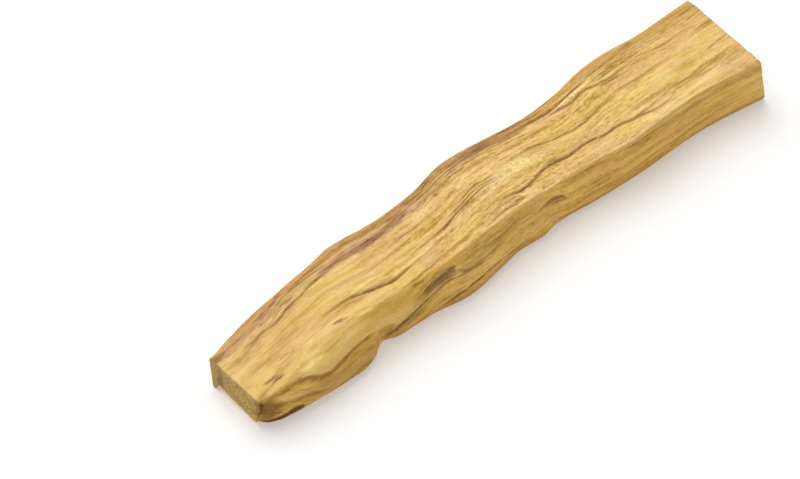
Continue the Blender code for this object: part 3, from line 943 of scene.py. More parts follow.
        Streak(Side.TOP, (
            (-22, -5, 0.25, 0), (-19, -4.9, 0.3, 0.8), (-15, -4.5, 0.25, 0.8),
            (-10, -4.3, 0.25, 0.7), (-6, -4.1, 0.2, 0.4), (-3, -3.8, 0.2, 0),
        )),
        Streak(Side.TOP, (
            (45, -7.8, 0.4, 0), (47, -8, 0.6, 0.9), (49, -8.3, 0.7, 1), (51, -8.5, 0.7, 0.8),
        )),
        Streak(Side.TOP, (
            (44, 2, 0.8, 0), (47, 2.2, 1, 0.4), (51, 3.4, 1.6, 0.5),
        )),
        Streak(Side.FRONT, (
            (6.2, 5.8, 0.4, 0), (7.5, 6, 0.6, 0.8), (8.6, 5.8, 0.6, 0.9), (9.7, 5.2, 0.4, 0),
        )),
        Streak(Side.FRONT, (
            (30, 3.2, 0.7, 0), (33, 3.1, 0.9, 0.4), (36, 3.4, 0.9, 0.4), (39, 3.4, 0.7, 0),
        )),
        Streak(Side.BACK, (
            (20, 7.5, 1.2, 0), (32, 8.4, 1.6, 0.8), (51, 8.6, 1.6, 0.7),
        )),
    ),
    Stain.KNOT: (
        Streak(Side.TOP, (
            (-7, -4, 0.3, 0), (-4, -3.9, 0.6, 0.45), (-2, -3.5, 0.9, 0.55), (0, -3.3, 1, 0.5),
            (2, -3.4, 0.95, 0.65), (3, -3.8, 0.7, 0.45), (4.7, -4.2, 0.4, 0),
        )),
        Streak(Side.FRONT, (
            (-19.9, 6.3, 0.5, 0), (-18.4, 6.7, 0.9, 0.65), (-17, 7.1, 1.3, 0.7),
            (-15.5, 7.3, 1.4, 0.75), (-13.9, 7.4, 1.4, 0.8), (-13, 7.4, 1.1, 0.8),
            (-12.4, 7.2, 0.6, 0.2), (-12.1, 7.1, 0.4, 0),
        )),
        Streak(Side.FRONT, (
            (5.4, 6.7, 0.3, 0), (6.8, 6.8, 0.4, 0.55), (8.1, 6.7, 0.4, 0.6),
            (9.3, 6.2, 0.35, 0.55), (10.4, 5.6, 0.3, 0),
        )),
        Streak(Side.TOP, (
            (-48.5, -3.2, 0.2, 0), (-47.4, -3.4, 0.3, 0.85), (-46, -3.5, 0.28, 0.8),
            (-44.9, -3.5, 0.2, 0),
        )),
        Streak(Side.TOP, (
            (-47.4, -4, 0.2, 0), (-46.2, -4, 0.3, 0.85), (-44.9, -4.2, 0.25, 0.6),
            (-43.8, -4.3, 0.2, 0),
        )),
        Streak(Side.TOP, (
            (-35, -3.1, 0.15, 0), (-33.9, -3.15, 0.25, 0.75), (-32.6, -3.2, 0.22, 0.65),
            (-31.8, -3.2, 0.15, 0),
        )),
        Streak(Side.TOP, (
            (-34, -3.6, 0.15, 0), (-33, -3.6, 0.22, 0.65), (-32, -3.65, 0.2, 0.5),
            (-31.2, -3.7, 0.15, 0),
        )),
        Streak(Side.TOP, (
            (-7.5, 5, 0.2, 0), (-6.8, 5, 0.32, 0.9), (-6, 5.05, 0.2, 0),
        )),
        Streak(Side.TOP, (
            (-2, -3.5, 0.2, 0), (-1.3, -3.5, 0.3, 0.7), (-0.6, -3.5, 0.2, 0),
        )),
        Streak(Side.TOP, (
            (1.5, -3.3, 0.25, 0), (2.2, -3.4, 0.5, 0.7), (2.9, -3.6, 0.5, 0.8),
            (3.4, -3.75, 0.25, 0),
        )),
        Streak(Side.TOP, (
            (21.3, 5.8, 0.2, 0), (21.9, 5.9, 0.35, 0.7), (22.6, 5.9, 0.2, 0),
        )),
        Streak(Side.FRONT, (
            (20.7, 6.7, 0.3, 0), (21.4, 6.7, 0.45, 0.5), (22.1, 6.7, 0.3, 0),
        )),
        Streak(Side.BACK, (
            (-27, 4.8, 0.7, 0), (-24, 4.6, 1.2, 0.8), (-21, 4.9, 1.2, 0.9), (-18, 5.2, 0.8, 0),
        )),
    ),
    Stain.DARK: (
        Streak(Side.FRONT, (
            (-50, 0.5, 0.3, 0), (-49.3, 0.5, 0.45, 0.6), (-47.5, 0.8, 0.5, 0.8),
            (-46, 1.2, 0.6, 1), (-44.5, 1.4, 0.7, 1), (-43.4, 1.4, 0.6, 1), (-42.8, 1.3, 0.4, 0),
        )),
    ),
}


@dataclass(frozen=True)
class Spot:
    """A soft-edged place on the wood, with its own reach along each axis."""

    centre: tuple[float, float, float]
    reach: tuple[float, float, float]

    def mask(self, points: np.ndarray) -> np.ndarray:
        """How near the spot's middle each point lies, from 0 to 1."""
        return hump(np.linalg.norm((points - self.centre) / self.reach, axis=1))


@dataclass(frozen=True)
class Hollow(Spot):
    """A spot where wood has broken away to a depth."""

    depth: float


@dataclass(frozen=True)
class Shell:
    """A closed box of faces, numbered so that neighbours along the stick can be looked up."""

    along: int
    across: int
    up: int

    def counts(self) -> np.ndarray:
        """How many faces the box has along each axis."""
        return np.array([self.along, self.across, self.up])

    def numbering(self) -> np.ndarray:
        """Numbers the box's outer lattice points.

        Returns:
            An array over the whole lattice, with -1 for points inside it.
        """
        shape = self.counts() + 1
        places = np.indices(shape)
        limit = self.counts().reshape(3, 1, 1, 1)
        outer = ((places == 0) | (places == limit)).any(axis=0)
        numbers = np.full(shape, -1)
        numbers[outer] = np.arange(outer.sum())
        return numbers

    def corners(self) -> np.ndarray:
        """The outer lattice points, each coordinate from -1 to 1, one per row."""
        places = np.argwhere(self.numbering() >= 0)
        return places / self.counts() * 2 - 1

    def quads(self) -> np.ndarray:
        """The box's faces, wound to face outwards.

        Returns:
            Four point numbers per row.
        """
        numbers = self.numbering()
        sheets = []
        for axis in range(3):
            for end in (0, -1):
                sheet = np.take(numbers, end, axis=axis)
                ring = np.stack([sheet[:-1, :-1], sheet[1:, :-1], sheet[1:, 1:], sheet[:-1, 1:]], axis=-1)
                flat = ring.reshape(-1, 4)
                turned = (axis == 1) == (end == -1)
                sheets.append(flat[:, ::-1] if turned else flat)
        return np.concatenate(sheets)


def point_normals(points: np.ndarray, quads: np.ndarray) -> np.ndarray:
    """Averages the normals of the faces around each point.

    Args:
        points: One point per row.
        quads: Four point numbers per row.

    Returns:
        One unit normal per point.
    """
    a, b, c, d = (points[quads[:, k]] for k in range(4))
    normal = np.cross(c - a, d - b)
    total = np.zeros_like(points)
    for k in range(4):
        np.add.at(total, quads[:, k], normal)
    return total / np.maximum(np.linalg.norm(total, axis=1, keepdims=True), 1e-12)


def mesh_piece(name: str, points: np.ndarray, faces: Sequence[Sequence[int]]) -> bpy.types.Object:
    """Makes a mesh object from points of the drawing and links it to the scene.

    Args:
        name: The object's name.
        points: One point of the drawing per row, in millimetres.
        faces: The point numbers of each face.

    Returns:
        The new object, in the frame's place and size.
    """
    mesh = bpy.data.meshes.new(name)
    mesh.from_pydata(((points - MIDDLE) * MM).tolist(), [], faces)
    mesh.shade_smooth()
    piece = bpy.data.objects.new(name, mesh)
    bpy.context.scene.collection.objects.link(piece)
    return piece


def paint(piece: bpy.types.Object, name: str, *channels: np.ndarray) -> None:
    """Stores up to three numbers per point of a piece for its finish to read.

    Args:
        piece: The piece to paint.
        name: The attribute's name.
        channels: One number per point in each. Those that are left out are 0.
    """
    values = np.zeros((len(piece.data.vertices), 3), np.float32)
    values[:, : len(channels)] = np.stack(channels, axis=1)
    layer = piece.data.attributes.new(name, "FLOAT_VECTOR", "POINT")
    layer.data.foreach_set("vector", values.ravel())


@dataclass
class Stick:
    """The stick's visible wood, modelled finely enough to carry its fibres and creases."""

    billet: Billet = Billet()
    fibres: Fibres = Fibres()
    shell: Shell = Shell(340, 84, 42)
    ridges: tuple[Ridges, ...] = (Ridges(24.0, 2.3, 0.36), Ridges(11.0, 1.1, 0.14))
    fine_relief: tuple[Ridges, ...] = (
        Ledges(30.0, 1.7, 0.07, 31.0),
        Ledges(14.0, 0.9, 0.035, 57.0),
        Ridges(8.0, 0.6, 0.11, 11.0),
        Ridges(5.0, 0.36, 0.06, 23.0),
    )
    torn_middle: tuple[float, float] = (-5.0, 0.8)
    torn_reach: tuple[float, float] = (9.0, 1.8)
    torn_gain: float = 1.8
    relief_along: Line = Line((
        (-50.5, 0.2), (-48, 0.7), (-43, 1.0), (-38, 1.1), (0, 1.2), (34, 1.1), (40, 0.9), (46, 0.55),
        (51, 0.2),
    ))
    calm_foot: tuple[float, float] = (0.2, 3.0)
    foot_relief: float = 0.35
    end_relief: float = 0.15
    end_facing: tuple[float, float] = (0.55, 0.85)
    side_facing: tuple[float, float] = (0.2, 0.8)
    saw_marks: Ridges = Ridges(0.5, 0.5, 0.05, 77.0)
    fray: Line = Line((
        (-50, 0.5), (-35, 0.8), (-22, 1.4), (-8, 2.2), (5, 2.6), (15, 2.3), (28, 2.2), (36, 1.6),
        (50, 1.4),
    ))
    hollows: tuple[Hollow, ...] = (
        Hollow((-50.0, -5.6, 3.4), (1.3, 1.3, 2.3), 1.0),
        Hollow((-50.1, 3.9, 3.0), (1.2, 0.5, 3.5), 0.2),
    )
    # Painted shadow in the upright groove of the chipped near corner, and its strength.
    groove: Spot = Spot((-49.9, -5.2, 4.3), (0.8, 0.75, 2.6))
    groove_strength: float = 0.7
    # Where the broken near corner's dent gets painted shade.
    broken: Spot = Spot((-48.9, -5.3, 3.6), (2.7, 1.8, 3.4))
    # Where the near end's upright notch gets painted shade.
    notch: Spot = Spot((-50.2, 3.8, 2.6), (1.5, 0.8, 3.4))
    tooth_edge: tuple[float, float] = (3.9, 4.6)
    # Painted shade at the foot of the front face: none above the first height, full below the second.
    shaded_foot: tuple[float, float] = (2.0, 0.2)
    points: np.ndarray = field(init=False)
    normals: np.ndarray = field(init=False)

    def build(self) -> bpy.types.Object:
        """Models the wood.

        Returns:
            The stick's visible piece, painted with the masks that its finish reads.
        """
        quads = self.shell.quads()
        smooth = self.billet.surface(self.shell.corners(), self.fibres)
        normals = point_normals(smooth, quads)
        carved = smooth + normals * self.relief(smooth, normals)[:, None]
        self.points = self.within_box(carved)
        self.normals = point_normals(self.points, quads)
        piece = mesh_piece("palo_santo_wood", self.points, quads.tolist())
        self.paint_masks(piece, smooth, normals)
        return piece

    def within_box(self, points: np.ndarray) -> np.ndarray:
        """Keeps points inside the solid's box, which also planes the underside flat.

        Args:
            points: One point of the drawing per row.

        Returns:
            The same points, none outside the box.
        """
        low, high = (np.array(corner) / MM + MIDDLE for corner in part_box(NODE))
        return np.clip(points, low, high)

    def end_share(self, normals: np.ndarray) -> np.ndarray:
        """How much each point belongs to a sawn end, from 0 to 1."""
        return smooth_step(*self.end_facing, np.abs(normals[:, 0]))

    def relief(self, points: np.ndarray, normals: np.ndarray) -> np.ndarray:
        """How far split fibres, creases, saw marks and broken places move the surface out.

        Args:
            points: The smooth stick's points.
            normals: The smooth stick's normals.

        Returns:
            The lift at each point, in millimetres.
        """
        x, y, z = points.T
        grain = self.fibres.grain(points)
        level = np.stack([x, y - self.fibres.sideways(x, y), z], axis=1)
        end = self.end_share(normals)
        torn_x, torn_y = ((points[:, k] - self.torn_middle[k]) / self.torn_reach[k] for k in (0, 1))
        torn = 1 + self.torn_gain * hump(np.hypot(torn_x, torn_y)) * Side.TOP.facing(normals)
        coarse = sum(ridges.lift(level) for ridges in self.ridges)
        fine = sum(ridges.lift(grain) for ridges in self.fine_relief)
        calm = mix(self.foot_relief, 1, smooth_step(*self.calm_foot, z))
        split = (coarse + fine * torn) * self.relief_along.at(x) * calm
        out = split * mix(1, self.end_relief, end) + end * self.saw_marks.lift(points)
        for channel in CREASES:
            for crease in channel:
                out = out - crease.cut(points, normals)
        for hollow in self.hollows:
            out = out - hollow.depth * hollow.mask(points)
        return out

    def paint_masks(self, piece: bpy.types.Object, points: np.ndarray, normals: np.ndarray) -> None:
        """Stores the straightened wood, the creases, the stains and the places of painted shade on the
        piece.

        Args:
            piece: The stick's visible piece.
            points: The smooth stick's points.
            normals: The smooth stick's normals.
        """
        x, y, z = points.T
        paint(piece, "grain", *self.fibres.grain(points).T)
        for number, channel in enumerate(CREASES):
            paint(piece, f"crease_{number}", *self.crease_marks(channel, points, normals).T)
        masks = [self.stain_mask(stain, points, normals) for stain in Stain]
        paint(piece, "stain_a", *masks[0:3])
        paint(piece, "stain_b", *masks[3:6])
        front = Side.FRONT.facing(normals)
        side = smooth_step(*self.side_facing, front + Side.BACK.facing(normals))
        paint(piece, "place", self.end_share(normals), side, self.fray.at(x))
        # Dark marks low by the near end, and the painted shadow in the chip's groove.
        dark = np.maximum(masks[Stain.DARK.value], self.groove_strength * self.groove.mask(points))
        # The notch's painted shade, and where the tooth lies.
        paint(piece, "marks", dark, self.notch.mask(points), smooth_step(*self.tooth_edge, y))
        # Painted shade of the broken near corner and of the front face's foot.
        paint(piece, "painted_shade", self.broken.mask(points), smooth_step(*self.shaded_foot, z) * front)

    @staticmethod
    def crease_marks(channel: Iterable[Crease], points: np.ndarray, normals: np.ndarray) -> np.ndarray:
        """Distance, strength and tone of the creases of one channel.

        Args:
            channel: The creases, no two at one place on one side.
            points: The smooth stick's points.
            normals: The smooth stick's normals.

        Returns:
            Signed distance in half widths, strength and tone, one row per point.
        """
        marks = np.tile(NO_CREASE, (len(points), 1))
        for crease in channel:
            facing = smooth_step(*LINE_FACING, crease.side.facing(normals))
            here = crease.within(points[:, 0]) & (facing > 0)
            strength = facing * crease.column(Column.STRENGTH, points[:, 0])
            tone = np.full(len(points), crease.tone)
            found = np.stack([crease.distance(points), strength, tone], axis=1)
            marks[here] = found[here]
        return marks

    @staticmethod
    def stain_mask(stain: Stain, points: np.ndarray, normals: np.ndarray) -> np.ndarray:
        """How strongly a stain covers each point, from 0 to 1."""
        return np.max([streak.mask(points, normals) for streak in STAINS[stain]], axis=0)


@dataclass
class Splinters:
    """Fine slivers of wood lifted from the split faces, one end still attached."""

    stick: Stick
    seed: int = 20
    count: int = 150
    frayed: tuple[float, float] = (16.5, 24.5)
    frayed_share: float = 0.5
    frayed_rows: tuple[int, int] = (1, 5)
    arris_share: float = 0.5
    arris_rows: tuple[int, int] = (2, 8)
    clear_of_ends: int = 6
    length_steps: tuple[int, int] = (4, 11)
    turned_share: float = 0.5
    half_width: tuple[float, float] = (0.03, 0.07)
    width_taper: float = 0.9
    height_taper: float = 0.8
    lift: tuple[float, float] = (0.04, 0.16)
    sunk: float = 0.03
    pale: float = 0.8
    fray: float = 1.0

    def build(self) -> bpy.types.Object:
        """Models the slivers, most of them along the front arris and the rest over the top.

        Returns:
            One piece that holds all the slivers.
        """
        rng = random.Random(self.seed)
        numbers = self.stick.shell.numbering()
        points: list[np.ndarray] = []
        faces: list[tuple[int, ...]] = []
        for _ in range(self.count):
            steps = rng.randint(*self.length_steps)
            i, j = self.root(rng, steps)
            row = numbers[i : i + steps + 1, j, -1]
            self.add_sliver(rng, row, points, faces)
        drawn = np.array(points)
        piece = mesh_piece("loose_fibres", self.stick.within_box(drawn), faces)
        nothing = np.zeros(len(drawn))
        paint(piece, "grain", *self.stick.fibres.grain(drawn).T)
        paint(piece, "stain_b", nothing + self.pale)
        paint(piece, "place", nothing, nothing, nothing + self.fray)
        return piece

    def root(self, rng: random.Random, steps: int) -> tuple[int, int]:
        """Picks where a sliver starts: on the front arris's frayed stretch, by it or on the top.

        Args:
            rng: The source of random places.
            steps: How many faces long the sliver is.

        Returns:
            Numbers of the lattice point along and across the top.
        """
        shell, billet = self.stick.shell, self.stick.billet
        if rng.random() < self.frayed_share:
            share = (rng.uniform(*self.frayed) - billet.near_end) / (billet.far_end - billet.near_end)
            return int(share * shell.along), rng.randint(*self.frayed_rows)
        inner = self.arris_rows[1]
        on_top = (inner, shell.across - inner)
        rows = self.arris_rows if rng.random() < self.arris_share else on_top
        j = rng.randint(*rows)
        return rng.randint(self.clear_of_ends, shell.along - steps - self.clear_of_ends), j

    def add_sliver(
        self, rng: random.Random, row: np.ndarray, points: list[np.ndarray], faces: list[tuple[int, ...]]
    ) -> None:
        """Adds one sliver: a thin tapered prism that lifts off towards one end.

        Args:
            rng: The source of random sizes.
            row: Numbers of the surface points that it follows.
            points: The points so far, added to.
            faces: The faces so far, added to.
        """
        if rng.random() < self.turned_share:
            row = row[::-1]
        width = rng.uniform(*self.half_width)
        lift = rng.uniform(*self.lift)
        last = len(row) - 1
        base = len(points)
        for step, number in enumerate(row):
            share = step / last
            normal = self.stick.normals[number]
            centre = self.stick.points[number] + normal * (lift * share**2 - self.sunk * (1 - share))
            sideways = np.cross(normal, (1.0, 0.0, 0.0)) * width * (1 - self.width_taper * share)
            points.append(centre - sideways)
            points.append(centre + normal * width * (1 - self.height_taper * share))
            points.append(centre + sideways)
        for step in range(last):
            near = base + 3 * step
            for k in range(3):
                faces.append((near + k, near + (k + 1) % 3, near + 3 + (k + 1) % 3, near + 3 + k))
        faces.append((base + 2, base + 1, base))
        tip = base + 3 * last
        faces.append((tip, tip + 1, tip + 2))


class Value:
    """A number in a shader, which adds Math nodes as it is written into an expression."""

    def __init__(self, tree: Tree, socket: Socket) -> None:
        """Keeps the tree and the socket that the number comes from."""
        self.tree = tree
        self.socket = socket

    def math(self, operation: str, first: Number, second: Number = 0.0) -> Value:
        """Adds one Math node.

        Args:
            operation: Blender's name for the operation.
            first: The first operand.
            second: The second operand, which some operations leave unused.

        Returns:
            The node's result.
        """
        made = self.tree.add("ShaderNodeMath", {"operation": operation}, {0: first, 1: second})
        return Value(self.tree, made.outputs[0])

    def __add__(self, other: Number) -> Value:
        """This value plus another."""
        return self.math("ADD", self, other)

    def __sub__(self, other: Number) -> Value:
        """This value less another."""
        return self.math("SUBTRACT", self, other)

    def __rsub__(self, other: Number) -> Value:
        """Another value less this one."""
        return self.math("SUBTRACT", other, self)

    def __mul__(self, other: Number) -> Value:
        """This value times another."""
        return self.math("MULTIPLY", self, other)

    def __abs__(self) -> Value:
        """This value without its sign."""
        return self.math("ABSOLUTE", self)

    def root(self) -> Value:
        """The square root of this value."""
        return self.math("SQRT", self)

    def sine(self) -> Value:
        """The sine of this value, in radians."""
        return self.math("SINE", self)

    def angle(self, across: Number) -> Value:
        """The angle whose rise is this value over a run across, in radians."""
        return self.math("ARCTAN2", self, across)

    def rise(self, low: float, high: float) -> Value:
        """Grades this value smoothly from 0 to 1.

        Args:
            low: Where the rise starts.
            high: Where the rise ends, below low for a fall.

        Returns:
            The graded value.
        """
        settings = {"interpolation_type": "SMOOTHSTEP"}
        inputs = {"Value": self, "From Min": low, "From Max": high}
        made = self.tree.add("ShaderNodeMapRange", settings, inputs)
        return Value(self.tree, made.outputs["Result"])


@dataclass(frozen=True)
class Figure:
    """One size of the wood's figure: its length along the fibres, its width and its detail."""

    length: float
    width: float
    detail: float = 2.0


class Tree:
    """The nodes of one material."""

    MIX_FACTOR, MIX_A, MIX_B, MIX_RESULT = 0, 6, 7, 2

    def __init__(self, name: str) -> None:
        """Starts a material with Blender's usual shader.

        Args:
            name: The material's name.
        """
        self.material = bpy.data.materials.new(name)
        self.material.use_nodes = True
        self.nodes = self.material.node_tree.nodes
        self.shader = self.nodes["Principled BSDF"]

    def add(
        self, kind: str, settings: Mapping[str, object], inputs: Mapping[object, object]
    ) -> bpy.types.Node:
        """Adds one node.

        Args:
            kind: Blender's name for the type of node.
            settings: The node's own settings, set before its sockets.
            inputs: A value or a link for each named or numbered socket.

        Returns:
            The new node.
        """
        node = self.nodes.new(kind)
        for name, setting in settings.items():
            if name == "stops":
                self.set_stops(node.color_ramp.elements, setting)
            else:
                setattr(node, name, setting)
        for key, value in inputs.items():
            self.feed(node.inputs[key], value)
        return node

    @staticmethod
    def set_stops(elements: bpy.types.bpy_prop_collection, stops: Sequence[tuple[float, Colour]]) -> None:
        """Sets the places and colours of a ramp.

        Args:
            elements: The ramp's own list, which starts with two.
            stops: Each place from 0 to 1 with its colour, in order.
        """
        for _ in stops[2:]:
            elements.new(0.5)
        for element, (place, colour) in zip(elements, stops):
            element.position = place
            element.color = (*colour, 1.0)

    def feed(self, socket: Socket, value: object) -> None:
        """Sets or links one socket.

        Args:
            socket: The socket to feed.
            value: A number, a colour, a vector, a Value or another node's socket.
        """
        if isinstance(value, Value):
            value = value.socket
        if isinstance(value, Socket):
            self.material.node_tree.links.new(value, socket)
        elif socket.type == "RGBA":
            socket.default_value = (*value, 1.0)
        else:
            socket.default_value = value

    def painted(self, name: str) -> Socket:
        """The vector that a piece was painted with under this name."""
        return self.add("ShaderNodeAttribute", {"attribute_name": name}, {}).outputs["Vector"]

    def parts(self, vector: Socket) -> tuple[Value, Value, Value]:
        """The three numbers of a vector."""
        outputs = self.add("ShaderNodeSeparateXYZ", {}, {0: vector}).outputs
        return Value(self, outputs[0]), Value(self, outputs[1]), Value(self, outputs[2])

    def noise(self, grain: Socket, figure: Figure) -> Value:
        """Noise drawn out along the fibres.

        Args:
            grain: Coordinates of the straightened wood, in millimetres.
            figure: The noise's size along the fibres and across them, and its detail.

        Returns:
            A value from 0 to 1, about 0.5 on average.
        """
        scale = (1 / figure.length, 1 / figure.width, 1 / figure.width)
        scaled = self.add("ShaderNodeVectorMath", {"operation": "MULTIPLY"}, {0: grain, 1: scale})
        inputs = {"Vector": scaled.outputs[0], "Scale": 1.0, "Detail": figure.detail}
        return Value(self, self.add("ShaderNodeTexNoise", {}, inputs).outputs[0])

    def mix(self, share: Number, first: ColourInput, second: ColourInput, blend: str = "MIX") -> Socket:
        """Mixes two colours.

        Args:
            share: How much of the second colour shows.
            first: The first colour.
            second: The second colour.
            blend: Blender's name for the way to mix.

        Returns:
            The mixed colour.
        """
        settings = {"data_type": "RGBA", "blend_type": blend}
        inputs = {self.MIX_FACTOR: share, self.MIX_A: first, self.MIX_B: second}
        return self.add("ShaderNodeMix", settings, inputs).outputs[self.MIX_RESULT]

    def tinge(self, share: Number, colour: Socket, tinge: Colour) -> Socket:
        """Multiplies a colour by a tint where it shows, which keeps the wood's own pattern.

        Args:
            share: How much of the tint shows.
            colour: The colour so far.
            tinge: What the colour is multiplied by.

        Returns:
            The tinged colour.
        """
        return self.mix(share, colour, self.mix(1.0, colour, tinge, "MULTIPLY"))


def linear(red: int, green: int, blue: int) -> Colour:
    """Turns a colour as a screen shows it into the light it stands for, by the sRGB curve.

    Args:
        red: Red, from 0 to 255.
        green: Green, from 0 to 255.
        blue: Blue, from 0 to 255.

    Returns:
        The colour's three shares of light, from 0 to 1.
    """
    shares = (channel / 255 for channel in (red, green, blue))
    return tuple(s / 12.92 if s <= 0.04045 else ((s + 0.055) / 1.055) ** 2.4 for s in shares)


# Clean golden wood as the photograph's light shows it.
CLEAN_WOOD = (226, 189, 117)


def tint(red: int, green: int, blue: int) -> Colour:
    """What clean golden wood is multiplied by to look like another colour.

    Args:
        red: Red of the other colour as a screen shows it, from 0 to 255.
        green: Its green.
        blue: Its blue.

    Returns:
        A factor for each share of light.
    """
    return tuple(there / here for there, here in zip(linear(red, green, blue), linear(*CLEAN_WOOD)))


@dataclass(frozen=True)
class Coat:
    """A colour, and how a mask lays it on: where it starts, where it is full and its most."""

    colour: Colour
    low: float = 0.1
    high: float = 0.9
    most: float = 1.0

    def share(self, mask: Value) -> Value:
        """How much of the colour shows for a mask."""
        return mask.rise(self.low, self.high) * self.most


@dataclass(frozen=True)
class Fleck:
    """Short marks that the figure's high spots leave, and how much they change the tone."""

    figure: Figure
    low: float
    high: float
    tone: float


@dataclass(frozen=True)
class Swing:
    """How far the wood's own noises move a tone, a height or the edge of a patch."""

    fibre: float = 0.0
    streak: float = 0.0
    dash: float = 0.0


@dataclass(frozen=True)
class Pattern:
    """The wood's own noises: at the width of a fibre, of a streak and of a short torn fibre."""

    tree: Tree
    grain: Socket
    fibre: Value
    streak: Value
    dash: Value

    def noise(self, figure: Figure) -> Value:
        """Another noise of the wood, from 0 to 1."""
        return self.tree.noise(self.grain, figure)

    def ripple(self, figure: Figure, reach: float) -> Value:
        """Another noise of the wood, about 0 and in proportion to a reach."""
        return (self.noise(figure) - 0.5) * reach

    def swing(self, swing: Swing) -> Value:
        """Adds up the wood's own noises about 0.

        Args:
            swing: How far each of them counts.

        Returns:
            Their sum, about 0 on average.
        """
        coarse = (self.streak - 0.5) * swing.streak
        return coarse + (self.fibre - 0.5) * swing.fibre + (self.dash - 0.5) * swing.dash


